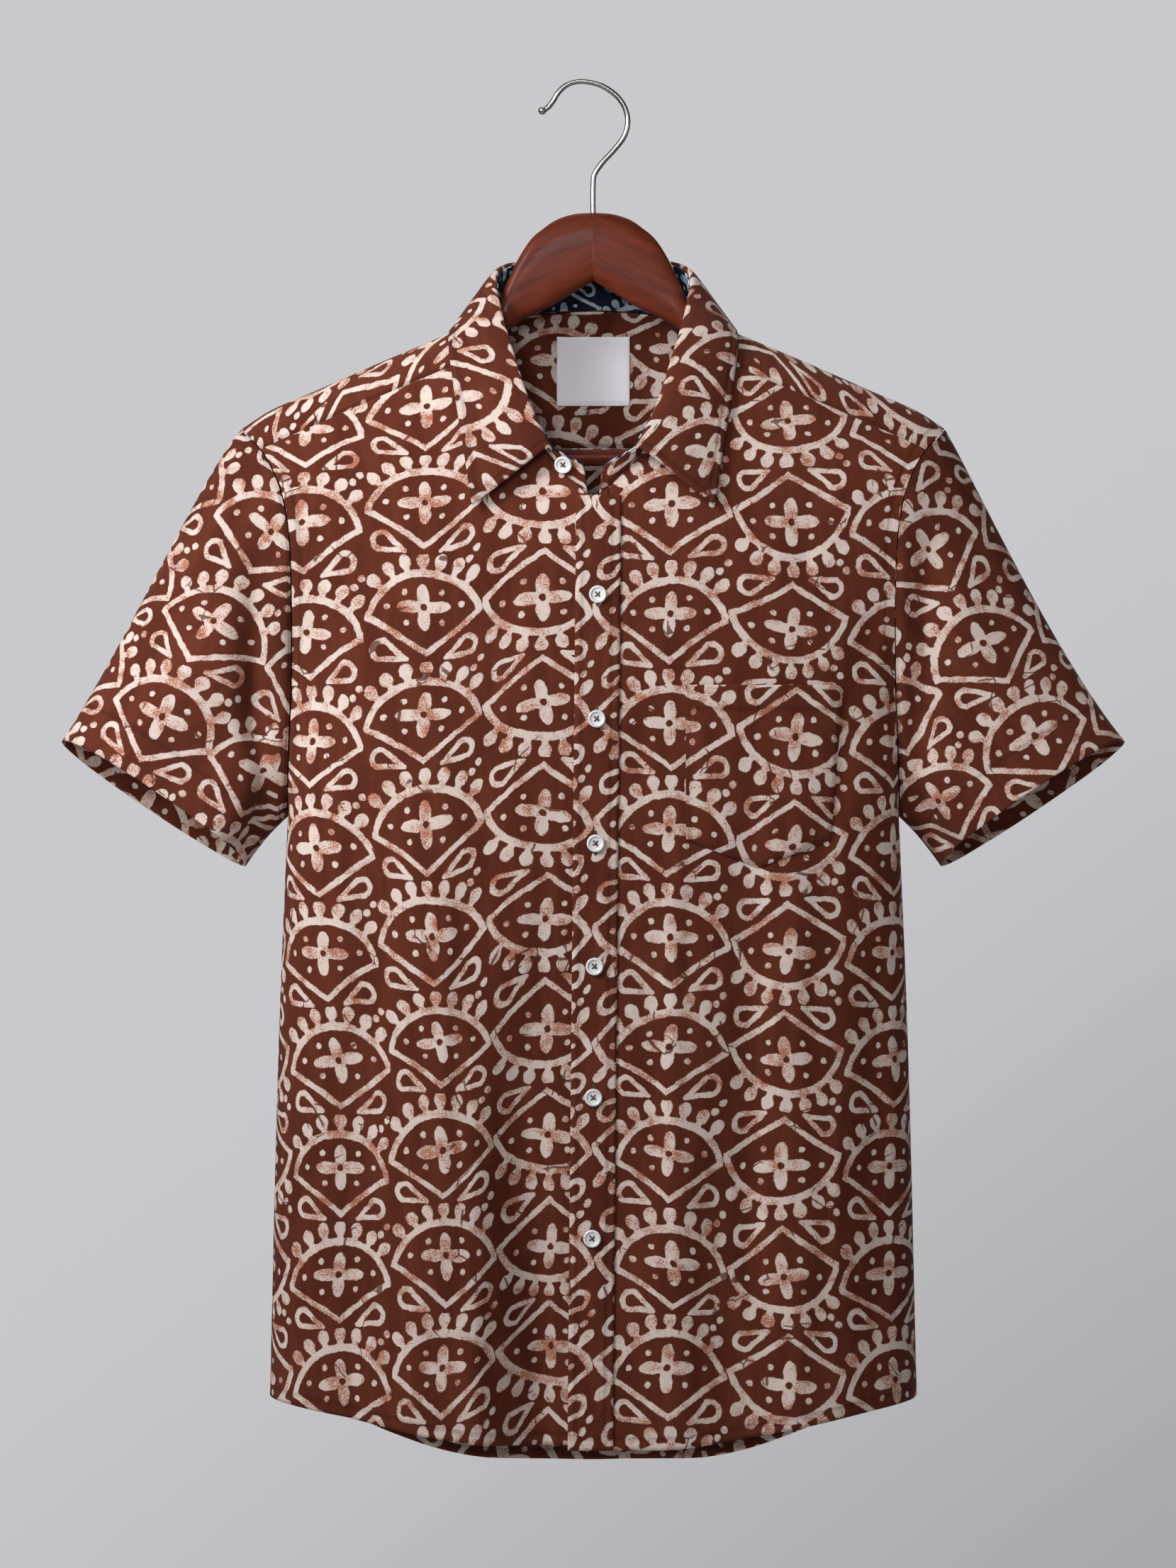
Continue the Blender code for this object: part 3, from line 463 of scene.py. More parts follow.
def inset_path(grid, edge, inset, flip=False, trim=0.0):
    """Points and normals of the line that runs a fixed distance in from one edge of the grid."""
    normals = grid_normals(grid, flip)
    distance = edge_distance(grid, edge)
    if edge.endswith("row"):
        grid, normals, distance = (np.swapaxes(a, 0, 1) for a in (grid, normals, distance))
    order = slice(None) if edge.startswith("first") else slice(None, None, -1)
    grid, normals, distance = grid[:, order], normals[:, order], distance[:, order]
    k = np.clip((distance < inset).sum(1) - 1, 0, grid.shape[1] - 2)
    rows = np.arange(len(grid))
    low, high = distance[rows, k], distance[rows, k + 1]
    w = np.clip((inset - low) / np.maximum(high - low, 1e-9), 0, 1)[:, None]
    path = grid[rows, k] * (1 - w) + grid[rows, k + 1] * w
    normal = normals[rows, k] * (1 - w) + normals[rows, k + 1] * w
    if trim:
        length = np.concatenate([[0], np.cumsum(np.linalg.norm(np.diff(path, axis=0), axis=1))])
        keep = (length >= trim) & (length <= length[-1] - trim)
        path, normal = path[keep], normal[keep]
    return path, normal


# %% [markdown]
# ## Stitches
#
# Topstitching is a row of short threads that dip into the cloth at each end. A texture could
# draw them, but at this size real threads catch the light and keep their shape in the mesh.
# One small spindle of thirty triangles is repeated along each path.


# %% Threads along a path
def spindle(sides=5):
    """A thread's form along X: rings at four fifths of its ends' sine, closed by a point at each end."""
    turn = np.arange(sides) / sides * 2 * math.pi
    rings = [[x, r * math.cos(a), r * math.sin(a)] for x, r in ((-0.32, 0.85), (0, 1), (0.32, 0.85)) for a in turn]
    points = np.array([[-0.5, 0, 0]] + rings + [[0.5, 0, 0]], float)
    k = np.arange(sides)
    n = (k + 1) % sides
    faces = [np.stack([0 * k, 1 + n, 1 + k], 1)]
    for ring in (0, 1):
        a, b = 1 + ring * sides, 1 + (ring + 1) * sides
        faces.append(np.stack([a + k, a + n, b + n], 1))
        faces.append(np.stack([a + k, b + n, b + k], 1))
    last = 1 + 2 * sides
    faces.append(np.stack([last + k, last + n, 0 * k + len(points) - 1], 1))
    return points, np.concatenate(faces)


def threads(name, runs, pitch=0.0029, length=0.0023, radius=0.00021, lift=0.00012):
    """One mesh of stitches: a spindle every pitch along each path, laid on the path's normals."""
    form, faces = spindle()
    places, tangents, ups = [], [], []
    for path, normal in runs:
        steps = np.linalg.norm(np.diff(path, axis=0), axis=1)
        total = np.concatenate([[0], np.cumsum(steps)])
        at = np.arange(pitch / 2, total[-1], pitch)
        ends = [np.stack([np.interp(at + d, total, path[:, i]) for i in range(3)], 1) for d in (-length / 2, length / 2)]
        up = np.stack([np.interp(at, total, normal[:, i]) for i in range(3)], 1)
        places.append((ends[0] + ends[1]) / 2)
        tangents.append(ends[1] - ends[0])
        ups.append(up)
    place, tangent, up = np.concatenate(places), np.concatenate(tangents), np.concatenate(ups)
    tangent /= np.linalg.norm(tangent, axis=1, keepdims=True)
    across = np.cross(up, tangent)
    across /= np.linalg.norm(across, axis=1, keepdims=True)
    up = np.cross(tangent, across)
    points = (
        place[:, None] + up[:, None] * lift
        + tangent[:, None] * form[None, :, :1] * length
        + across[:, None] * form[None, :, 1:2] * radius
        + up[:, None] * form[None, :, 2:] * radius * 0.8
    )
    all_faces = faces[None] + (np.arange(len(place)) * len(form))[:, None, None]
    made = new_mesh(name, points.reshape(-1, 3), all_faces.reshape(-1, 3))
    print(name, len(place), "stitches")
    return made


# %% [markdown]
# ## Where the cloth lay when it was printed
#
# A print is stamped on flat cloth. So each panel carries the length measured on the cloth, both
# across and down, from a fixed point. Across, it is the length round the body at that height;
# down, it is the length along the fall of the cloth. The plane of the print is 7.83 cm from one
# column of blocks to the next and 6.97 cm from row to row.

# %% Flat places for the body's panels
COLUMN_PITCH = 0.0783
ROW_PITCH = 0.0697


def round_length(side, s, z, steps=24):
    """Length round the body from the centre to s at height z, as a sum of short chords."""
    w = np.linspace(0, 1, steps + 1)
    run = torso(side, s[..., None] * w, z[..., None] + 0 * w)
    return np.sign(s) * np.linalg.norm(np.diff(run, axis=-2), axis=-1).sum(-1)


def fall_length(side, s, z, start, steps=24):
    """Length down the cloth from the height start to z at a fixed s, positive upwards."""
    w = np.linspace(0, 1, steps + 1)
    run = torso(side, s[..., None] + 0 * w, start + (z - start)[..., None] * w)
    return np.sign(z - start) * np.linalg.norm(np.diff(run, axis=-2), axis=-1).sum(-1)


def body_cloth(side, s, z, shift, start=-0.45, gather=0.0):
    """Place on the flat cloth: length round and length down, moved so that a motif falls where wanted.

    gather is the share of cloth taken up towards the hem by ripples too fine for the grid.
    """
    u = round_length(side, s, z) * (1 if side < 0 else -1) * (1 + gather * soft_step((-0.42 - z) / 0.30))
    v = start + fall_length(side, s, z, start)
    return np.stack([u + shift[0], v + shift[1]], -1)


# %% [markdown]
# ## Fronts
#
# Each front is cut from the button line to the side seam, and up to the neck and the yoke. Its
# grid runs level up to the chest, and above it the rows fan out to the neckline and the yoke
# seam, as the weaver's rows never do but the panel's edges do.

# %% Fronts
pieces = {}
stitch_runs = {}
FRONT_MEET = 0.0105
HEM_INSET = 0.007
SEAM_INSET = 0.0062
YOKE_INSET = 0.0016


def front_places(sign, columns=96, low_rows=210, high_rows=56):
    """s and z of a front panel's grid: level rows to the chest, then a blend to the top edge."""
    inner = FRONT_MEET + (SEAM_GAP if sign > 0 else -SEAM_GAP) * sign * sign
    c = np.linspace(0, 1, columns)
    corner = int(round(columns * 0.36))
    neck_start = float(sign * share_at(sign * FRONT_MEET * sign + sign * SEAM_GAP, Z_FRONT_NECK))
    top_s = np.concatenate(
        [np.linspace(neck_start, CORNER_S, corner)[:-1], np.linspace(CORNER_S, LAST_SHARE, columns - corner + 1)]
    )
    top_z = np.where(top_s <= CORNER_S, neck_level(top_s), ridge_level(top_s, YOKE_DROP)) - SEAM_GAP
    s_rows, z_rows = [], []
    for w in np.linspace(0, 1, low_rows):
        s = np.full(columns, LAST_SHARE)
        z = np.full(columns, Z_CHEST)
        for _ in range(6):
            start = sign * share_at(FRONT_MEET + sign * SEAM_GAP, z)
            s = start * (1 - c) + LAST_SHARE * c
            low = hem_level(-1, s)
            z = low + (Z_CHEST - low) * w
        s_rows.append(s)
        z_rows.append(z)
    s_chest, z_chest = s_rows[-1], z_rows[-1]
    for w in np.linspace(0, 1, high_rows)[1:]:
        s_rows.append(s_chest * (1 - w) + top_s * w)
        z_rows.append(z_chest * (1 - w) + top_z * w)
    return np.array(s_rows) * sign, np.array(z_rows)


def tuck(x, z):
    """How far the right front sinks behind the band: nothing at the chest, most between button and hem."""
    across = soft_step((x + 0.073) / 0.044) * (1 - soft_step((x + 0.010) / 0.016))
    return (0.0125 * soft_step((-0.46 - z) / 0.20) + 0.0095 * soft_step((-0.70 - z) / 0.14)) * across


FRONT_SHIFT = {-1: (5 * COLUMN_PITCH + 0.0320, 0.3502), 1: (COLUMN_PITCH - 0.0500, 0.3502)}
for name, sign in (("front_right", -1), ("front_left", 1)):
    s, z = front_places(sign)
    points = torso(-1, s, z)
    if sign < 0:
        points[..., 1] += tuck(points[..., 0], z)
    lines = nearest_line(points, [("first_row", HEM_INSET), ("last_column", SEAM_INSET)])
    flat = body_cloth(-1, s, z, FRONT_SHIFT[sign], gather=0.11 if sign < 0 else 0.02)
    pieces[name] = thicken(grid_piece(name + "_cloth", [(points, flat, lines)], flip=sign < 0))
    stitch_runs[name] = [
        inset_path(points, "first_row", HEM_INSET, sign < 0),
        inset_path(points[150:], "last_column", SEAM_INSET, sign < 0),
    ]
    print(name, "grid", points.shape, "hem at", points[0, :, 2].min().round(4))

# %% [markdown]
# ## Back
#
# The back hangs from the yoke seam with soft folds of its own, which are hidden in the picture
# but follow from the way that the cloth is held at the two shoulders.


# %% Back
def back_places(columns=150, rows=230):
    """s and z of the back panel's grid, level at the top and following the hem at the foot."""
    s = np.linspace(-LAST_SHARE, LAST_SHARE, columns)[None, :] + np.zeros((rows, 1))
    w = np.linspace(0, 1, rows)[:, None]
    low = hem_level(1, s)
    return s, low + (Z_BACK_YOKE - SEAM_GAP - low) * w


s, z = back_places()
points = torso(1, s, z)
lines = nearest_line(points, [("first_row", HEM_INSET), ("first_column", SEAM_INSET), ("last_column", SEAM_INSET)])
pieces["back"] = thicken(grid_piece("back_cloth", [(points, body_cloth(1, s, z, (0.02, 0.36)), lines)], flip=True))
stitch_runs["back"] = [
    inset_path(points, "first_row", HEM_INSET, True),
    inset_path(points[130:], "first_column", SEAM_INSET, True),
    inset_path(points[130:], "last_column", SEAM_INSET, True),
]
print("back grid", points.shape)

# %% [markdown]
# ## Yoke
#
# The yoke is one piece that goes over both shoulders: a back part, and a flap over each shoulder
# down to the front seam. The three grids share the shoulder line, where they are merged.


# %% Yoke
def yoke_parts(columns=60, rows=44, flap_rows=16):
    """s and z of the yoke's back part and of the flap over one shoulder."""
    inner = NECK_S * (1 - (1 - np.linspace(0, 1, 34)) ** 1.8)
    outer = np.linspace(NECK_S, LAST_SHARE, columns)
    half = np.concatenate([inner[:-1], outer])
    s = np.concatenate([-half[:0:-1], half])
    top = np.where(np.abs(s) < NECK_S, back_neck_level(s), ridge_level(s))
    w = np.linspace(0, 1, rows)[:, None] ** np.array([0.8])
    back_z = (Z_BACK_YOKE + SEAM_GAP) * (1 - w) + top * w
    back_s = s + 0 * w
    flap_s, flap_z = [], []
    for w in np.linspace(0, 1, flap_rows) ** 1.6:
        corner = float(ridge_level(np.array(NECK_S), YOKE_DROP * w))
        start = NECK_S if w == 0 else CORNER_S if w == 1 else float(neck_share(corner))
        share = np.linspace(start, LAST_SHARE, columns)
        flap_s.append(share)
        flap_z.append(ridge_level(share, YOKE_DROP * w))
    return back_s, back_z, np.array(flap_s), np.array(flap_z)


back_s, back_z, flap_s, flap_z = yoke_parts()
yoke_back = torso(1, back_s, back_z)
back_fall = run_length(yoke_back, 0)
across = round_length(1, back_s, back_z)
flat = np.stack([-across, back_fall], -1) + (0.055, 0.012)
lines = nearest_line(yoke_back, [("first_row", YOKE_INSET), ("first_column", SEAM_INSET), ("last_column", SEAM_INSET)])
grids = [(yoke_back, flat, lines)]
stitch_runs["yoke"] = [
    inset_path(yoke_back, "first_row", YOKE_INSET, True),
    inset_path(yoke_back, "first_column", SEAM_INSET, True),
    inset_path(yoke_back, "last_column", SEAM_INSET, True),
]
for sign in (-1, 1):
    flap = torso(-1, sign * flap_s, flap_z)
    over = np.interp(flap_s[:1] * sign, back_s[-1], flat[-1, :, 1])
    flap_flat = np.stack([-np.interp(flap_s * sign, back_s[-1], across[-1]) + 0.055, over + run_length(flap, 0)], -1)
    flap_lines = nearest_line(flap, [("last_row", YOKE_INSET), ("last_column", SEAM_INSET)])
    order = slice(None) if sign > 0 else slice(None, None, -1)
    grids.append((flap[:, order], flap_flat[:, order], flap_lines[:, order]))
    stitch_runs["yoke"].append(inset_path(flap[:, order], "last_row", YOKE_INSET, True))
    side = "last_column" if sign > 0 else "first_column"
    stitch_runs["yoke"].append(inset_path(flap[:, order], side, SEAM_INSET, True))
# The back part's rows run up to the shoulder line and the flaps' rows run on down the front, so one turn suits all
pieces["yoke"] = thicken(grid_piece("yoke_cloth", grids, flip=True))
print("yoke grids", [g[0].shape for g in grids])

# %% [markdown]
# ## Sleeves
#
# A short sleeve is a tube that leaves the armhole and falls to a flattened cuff. Each line of
# the grid is a cubic curve from the armhole seam to the cuff. The body hides the inner side,
# and a deep fold stands beside it, where the spare cloth under the arm gathers.

# %% Sleeve surface
CUFF_OUTER = (0.350, -0.433)
CUFF_INNER = (0.229, -0.514)
CUFF_HALF_DEPTH = 0.040
CUFF_TILT = math.radians(7)
CUFF_POWER = 2.3
SLEEVE_DIP = 0.0055
CUFF_ACROSS = np.array([CUFF_INNER[0] - CUFF_OUTER[0], 0, CUFF_INNER[1] - CUFF_OUTER[1]])
CUFF_RADIUS = float(np.linalg.norm(CUFF_ACROSS)) / 2
CUFF_ACROSS /= np.linalg.norm(CUFF_ACROSS)
CUFF_AXIS = np.array([-CUFF_ACROSS[2], 0, CUFF_ACROSS[0]])
# Creases of a sleeve: fraction round and t at one end, the same at the other, half width, height
SLEEVE_CREASES = (
    (0.400, 0.10, 0.335, 1.05, 0.012, -0.0060),
    (0.455, 0.15, 0.425, 1.05, 0.012, 0.0035),
    (0.300, 0.05, 0.265, 0.80, 0.013, 0.0030),
    (0.190, 0.02, 0.200, 0.70, 0.011, -0.0016),
    (0.110, 0.15, 0.120, 1.05, 0.014, 0.0018),
    (0.600, 0.10, 0.650, 1.05, 0.012, -0.0050),
    (0.700, 0.05, 0.740, 0.90, 0.014, 0.0030),
    (0.810, 0.02, 0.800, 0.75, 0.012, -0.0020),
    (0.890, 0.20, 0.880, 1.05, 0.014, 0.0018),
)


def armhole(sign, fractions):
    """Points of the armhole seam: down the front from the shoulder tip, and up the back again."""
    z = Z_UNDERARM + (RIDGE[-1][1] - Z_UNDERARM) * (0.5 + 0.5 * np.cos(np.linspace(0, math.pi, 500)))
    front = torso(-1, np.full(z.shape, 1.0), z)
    back = torso(1, np.full(z.shape, 1.0), z)
    first = (fractions <= 0.5)[:, None]
    points = np.where(first, evenly(front, fractions * 2), evenly(back, 2 - fractions * 2))
    return points * (sign, 1, 1)


def sleeve_surface(sign, turn, t):
    """Sleeve points by turn round it, 0 at the shoulder and 0.25 at the front, and t down to the cuff.

    Each line is a cubic that leaves the armhole outwards and forwards, and arrives along the
    sleeve's axis.
    """
    fractions = turn % 1.0
    outer, inner = np.array(CUFF_OUTER), np.array(CUFF_INNER)
    deep = np.array([0, math.cos(CUFF_TILT), 0]) + CUFF_AXIS * math.sin(CUFF_TILT)
    centre = np.array([(outer[0] + inner[0]) / 2, 0, (outer[1] + inner[1]) / 2])
    c, s = np.cos(fractions * 2 * math.pi), np.sin(fractions * 2 * math.pi)
    power = 2 / CUFF_POWER
    cuff = (
        centre
        - CUFF_ACROSS * (CUFF_RADIUS * np.sign(c) * np.abs(c) ** power)[:, None]
        - deep * (CUFF_HALF_DEPTH * np.sign(s) * np.abs(s) ** power)[:, None]
    )
    start = armhole(1, fractions)
    top = ((1 + c) / 2)[:, None]
    leave = top * np.array([0.70, 0, -0.71]) + (1 - top) * np.array([0.80, 0, -0.60])
    forward = np.where(s > 0, -0.90 * s * (1 - top[:, 0]), 0.22 * s)
    leave = leave + forward[:, None] * np.array([0, 1, 0])
    start = start + leave * (0.0008 + (1 - top) * 0.0008)
    span = np.linalg.norm(cuff - start, axis=1)[:, None]
    t = np.asarray(t, float)[:, None, None]
    points = (
        start * (1 + 2 * t) * (1 - t) ** 2
        + leave * span * 0.40 * t * (1 - t) ** 2
        + cuff * t * t * (3 - 2 * t)
        - CUFF_AXIS * span * 0.9 * t * t * (1 - t)
    )
    if sign > 0:
        points = points + CUFF_ACROSS * SLEEVE_DIP * 4 * (t - t * t) * top**3
    return points * (sign, 1, 1)


print("sleeve axis", CUFF_AXIS.round(3), "cuff half width", round(CUFF_RADIUS, 4))


# %% Sleeves
def sleeve_grid(sign, columns=150, rows=84):
    """The sleeve's grid from seam to seam round it, with its creases pushed in or out."""
    turn = np.linspace(-0.5, 0.5, columns)
    t = np.linspace(0, 1, rows)
    points = sleeve_surface(sign, turn, t)
    outward = grid_normals(points, flip=sign > 0)
    height = np.zeros(points.shape[:2])
    around = (turn % 1.0)[None, :]
    ring = 2.6 * (CUFF_RADIUS + CUFF_HALF_DEPTH)
    for i, (f0, t0, f1, t1, half, size) in enumerate(SLEEVE_CREASES):
        w = (t[:, None] - t0) / (t1 - t0)
        centre = f0 + (f1 - f0) * w + 0.008 * np.sin(3 * w + i + sign)
        off = (around - centre) * ring
        height += size * soft_step(w * 2.0) * soft_step((1.25 - w) * 3) * np.exp(-((off / half) ** 2))
    fade = soft_step(t[:, None] * 6)
    # Beside the armhole the cloth stands in a long soft ridge and falls from it to the seam
    from_seam = edge_distance(points, "first_row")
    low_front = np.exp(-(((around - 0.27) / 0.150) ** 4))
    low_back = np.exp(-(((around - 0.72) / 0.150) ** 4))
    crest = 0.030 + 0.006 * np.sin(9 * around + sign)
    ridge = np.exp(-(((from_seam - crest) / 0.019) ** 2)) * soft_step(from_seam / 0.014)
    height = height * fade + ridge * (0.0105 * low_front + 0.0060 * low_back)
    points = points + outward * height[..., None]
    # The cuff's front edge bows up a little and its back edge down, so the sleeve's inside shows
    bow = np.sin(2 * math.pi * around) * (t[:, None] ** 6)
    return turn, points - (CUFF_AXIS * (sign, 1, 1)) * (bow * np.where(bow > 0, 0.0045, 0.0025))[..., None]


def sleeve_cloth(sign, turn, points, shift):
    """Place on the flat cloth: the length up the sleeve from its cuff, and the length round it, a little off the grain."""
    axis = CUFF_AXIS * (sign, 1, 1)
    across = CUFF_ACROSS * (sign, 1, 1)
    outer = np.array([CUFF_OUTER[0] * sign, 0, CUFF_OUTER[1]])
    rise = np.diff(points, axis=0)
    rise = np.linalg.norm(rise - (rise @ across)[..., None] * across, axis=-1)
    down = ((points - outer) @ axis)[-1:] - np.concatenate([np.cumsum(rise[::-1], 0)[::-1], 0 * rise[:1]])
    step = np.diff(points, axis=1)
    flat_step = np.linalg.norm(step - (step @ axis)[..., None] * axis, axis=-1)
    length = np.concatenate([np.zeros((len(points), 1)), np.cumsum(flat_step, 1)], 1)
    middle = points.shape[1] // 2
    fold = (points[:, middle] - outer) @ across
    u = (length - length[:, middle : middle + 1] + fold[:, None] - 0.060) * -sign
    v, lean = -down - 0.090, math.radians(5) * -sign
    return np.stack([u + v * lean + shift[0], v - u * lean + shift[1]], -1)


CUFF_INSET = 0.0270
SLEEVE_SHIFT = {-1: (0.1546, 0.0978), 1: (0.3935, 0.1317)}
for name, sign in (("sleeve_right", -1), ("sleeve_left", 1)):
    turn, points = sleeve_grid(sign)
    lines = nearest_line(points, [("last_row", CUFF_INSET), ("first_row", 0.0012)])
    flat = sleeve_cloth(sign, turn, points, SLEEVE_SHIFT[sign])
    pieces[name] = thicken(grid_piece(name + "_cloth", [(points, flat, lines)], flip=sign > 0))
    stitch_runs[name] = [inset_path(points, "last_row", CUFF_INSET, sign > 0)]
    print(name, "grid", points.shape, "outermost x", np.abs(points[..., 0]).max().round(4))

# %% [markdown]
# ## Collar
#
# The collar has a stand that rises from the neck seam, a facing inside it of a darker print, and
# the leaf that rolls over the stand's top edge and falls to its points. The leaf is a family of
# cubic curves, one for each place along the roll line.

# %% Collar lines
ROLL_LINE = (
    (0.0000, 0.0350, -0.1145), (0.0300, 0.0310, -0.1150), (0.0520, 0.0180, -0.1172), (0.0635, -0.0020, -0.1270),
    (0.0620, -0.0220, -0.1510), (0.0530, -0.0430, -0.1840), (0.0410, -0.0565, -0.2180), (0.0270, -0.0635, -0.2450),
)
STAND_TOP_END = (0.0060, -0.0605, -0.2550)
LEAF_EDGE = (
    (0.0000, 0.0500, -0.1600), (0.0400, 0.0470, -0.1595), (0.0720, 0.0350, -0.1590), (0.0900, 0.0130, -0.1585),
    (0.0945, -0.0180, -0.1680), (0.0910, -0.0395, -0.2000), (0.0845, -0.0525, -0.2400), (0.0785, -0.0615, -0.2800),
)
ROLL_STEP = 0.0010
ROLL_HEIGHT = 0.0070
ROLL_LEAN = 0.0020
LEAF_BULGE = 0.0080
COLLAR_LAG = 0.06
COLLAR_COLUMNS = 81
END_COLUMNS = 12


def neck_ring(fractions):
    """Points of the neck seam, by share of its way from the back centre to the front end."""
    back_s = np.linspace(0, NECK_S, 60)
    back = torso(1, back_s, back_neck_level(back_s))
    z = np.linspace(Z_NECK_POINT, Z_FRONT_NECK, 120)[1:]
    front = torso(-1, np.maximum(neck_share(z), STAND_END / 0.24), z)
    return evenly(np.concatenate([back, front]), fractions)


def both_sides(half):
    """A run from one end round the back centre to the other end, from its half."""
    return np.concatenate([half[:0:-1] * (-1, 1, 1), half])


def collar_lines():
    """The neck seam and the stand's top edge, point for point, from the back centre to one end."""
    roll = along(ROLL_LINE, np.linspace(0, 1, COLLAR_COLUMNS))
    end = np.array(STAND_TOP_END)
    w = np.linspace(0, 1, END_COLUMNS + 1)[1:, None]
    top = np.concatenate([roll, roll[-1] * (1 - w) + end * w])
    steps = np.linalg.norm(np.diff(top, axis=0), axis=1)
    share = np.concatenate([[0], np.cumsum(steps)]) / np.sum(steps)
    return neck_ring(share - COLLAR_LAG * np.sin(math.pi * share)), top


def collar_outward():
    """Unit normals of the stand, away from the neck, one for each of its columns."""
    base, top = collar_lines()
    middle = (base + top) / 2
    out = np.cross(top - base, np.gradient(middle, axis=0))
    out[0, 0] = 0
    out *= np.sign(np.sum(out * (middle * (1, 1, 0) - (0, NECK_MIDDLE, 0)), axis=1, keepdims=True))
    out /= np.linalg.norm(out, axis=1, keepdims=True)
    return out


neck_line, stand_top = collar_lines()
print("neck seam", round(2 * float(run_length(neck_line[None], 1)[0, -1]), 3), "m round")


# %% Stand, facing and leaf
def stand_rows(inward, rows, foot=0.0, rise=0.0):
    """Rows of the stand from the neck seam to the roll line, moved in from its middle."""
    base, top = neck_line, stand_top
    out = collar_outward()
    up = (top - base) / np.linalg.norm(top - base, axis=1, keepdims=True)
    low, high = base + up * foot, top + up * rise
    return np.array([both_sides(low + (high - low) * w - out * inward) for w in np.linspace(0, 1, rows)])


def plain_cloth(grid, shift=(0.0, 0.0)):
    """Place on the flat cloth as the lengths along the rows and up the columns."""
    across = run_length(grid, 1)
    middle = grid.shape[1] // 2
    return np.stack([across - across[:, middle : middle + 1] + shift[0], run_length(grid, 0) + shift[1]], -1)


stand = stand_rows(0.0, 12, foot=0.0009)
lines = nearest_line(stand, [("first_row", 0.002), ("last_row", 0.002)])
pieces["collar_stand"] = thicken(grid_piece("collar_stand_cloth", [(stand, plain_cloth(stand, (0.03, 0.02)), lines)], flip=True), 0.0009)
facing = stand_rows(0.0014, 14, foot=0.0009, rise=0.0009)
lines = nearest_line(facing, [("first_row", 0.0016), ("last_row", 0.0030)])
pieces["collar_stand_lining"] = thicken(
    grid_piece("collar_stand_facing", [(facing, plain_cloth(facing, (0.02, 0.01)), lines)], flip=False), 0.0008
)
stitch_runs["collar_stand"] = [inset_path(facing, "first_row", 0.0016, False)]


def leaf_rows(rows=44):
    """Rows of the leaf from its seam at the roll line to its edge, as cubic curves by their four points."""
    base, roll = neck_line[:COLLAR_COLUMNS], stand_top[:COLLAR_COLUMNS]
    edge = along(LEAF_EDGE, np.linspace(0, 1, COLLAR_COLUMNS))
    out = collar_outward()[:COLLAR_COLUMNS]
    rise = roll - base
    rise /= np.linalg.norm(rise, axis=1, keepdims=True)
    seam = roll + rise * 2 * SEAM_GAP
    start = seam + rise * ROLL_STEP
    first = start + rise * ROLL_HEIGHT + out * ROLL_LEAN
    second = roll + (edge - roll) * 0.4 + out * LEAF_BULGE
    made = [both_sides(seam)]
    for w in np.linspace(0, 1, rows) ** 1.15:
        curve = start * (1 - w) ** 3 + first * 3 * w * (1 - w) ** 2 + second * 3 * w * w * (1 - w) + edge * w**3
        made.append(both_sides(curve))
    return np.array(made)


leaf = leaf_rows()
LEAF_INSET = 0.0050
lines = nearest_line(leaf, [("last_row", LEAF_INSET), ("first_column", LEAF_INSET), ("last_column", LEAF_INSET)])
leaf_flat = plain_cloth(leaf, (0.0, 0.0))[..., ::-1] * (1, -1) + (0.03, 0.02)
pieces["collar_leaf"] = thicken(grid_piece("collar_leaf_cloth", [(leaf, leaf_flat, lines)], flip=True), 0.0013)
stitch_runs["collar_leaf"] = [
    inset_path(leaf, "last_row", LEAF_INSET, True, trim=LEAF_INSET),
    inset_path(leaf[6:], "first_column", LEAF_INSET, True, trim=LEAF_INSET),
    inset_path(leaf[6:], "last_column", LEAF_INSET, True, trim=LEAF_INSET),
]
print("leaf grid", leaf.shape, "points at", leaf[-1, 0].round(4), leaf[-1, -1].round(4))

# %% [markdown]
# ## Front band and pocket
#
# Both lie on the left front, so they take the body's own surface and stand out from it by the
# cloth's thickness. Along their stitched edges they come down onto the panel.

# %% Front band
BAND_WIDTH = 0.029


def band_centre(z):
    """The x of the button line, which drifts a little to one side towards the hem."""
    share = np.clip((Z_FRONT_NECK - z) / (Z_FRONT_NECK - Z_SIDE_HEM), 0, 1)
    return 0.0034 - 0.0052 * share


def band_grid(columns=17, rows=300):
    """The band's grid: level rows from the hem to the neck seam, a little crowned between its edges."""
    c = np.linspace(-0.5, 0.5, columns)[None, :]
    w = np.linspace(0, 1, rows)[:, None]
    z = np.full((rows, columns), -0.5)
    for _ in range(4):
        s = share_at(band_centre(z) + c * BAND_WIDTH, z)
        low = hem_level(-1, s)
        z = low + (Z_FRONT_NECK - 2 * SEAM_GAP - low) * w
    crown = LAYER_LIFT + 0.0002 - 0.0006 * np.abs(2 * c) ** 6
    return s, z, torso(-1, s, z, lift=crown + 0 * z)


s, z, points = band_grid()
lines = nearest_line(points, [("first_column", 0.0050), ("last_column", 0.0050), ("first_row", HEM_INSET)])
flat = body_cloth(-1, s, z, (4.5 * COLUMN_PITCH, 0.3547))
pieces["front_band"] = thicken(grid_piece("front_band_cloth", [(points, flat, lines)]), 0.0009)
stitch_runs["front_band"] = [
    inset_path(points, "first_column", 0.0050),
    inset_path(points, "last_column", 0.0050),
    inset_path(points, "first_row", HEM_INSET),
]
print("band grid", points.shape)

# %% Chest pocket
POCKET_LEFT = 0.0595
POCKET_RIGHT_TOP = 0.1615
POCKET_RIGHT_FOOT = 0.1535
POCKET_TOP = -0.3966
POCKET_CORNER = -0.4965
POCKET_POINT = -0.5147


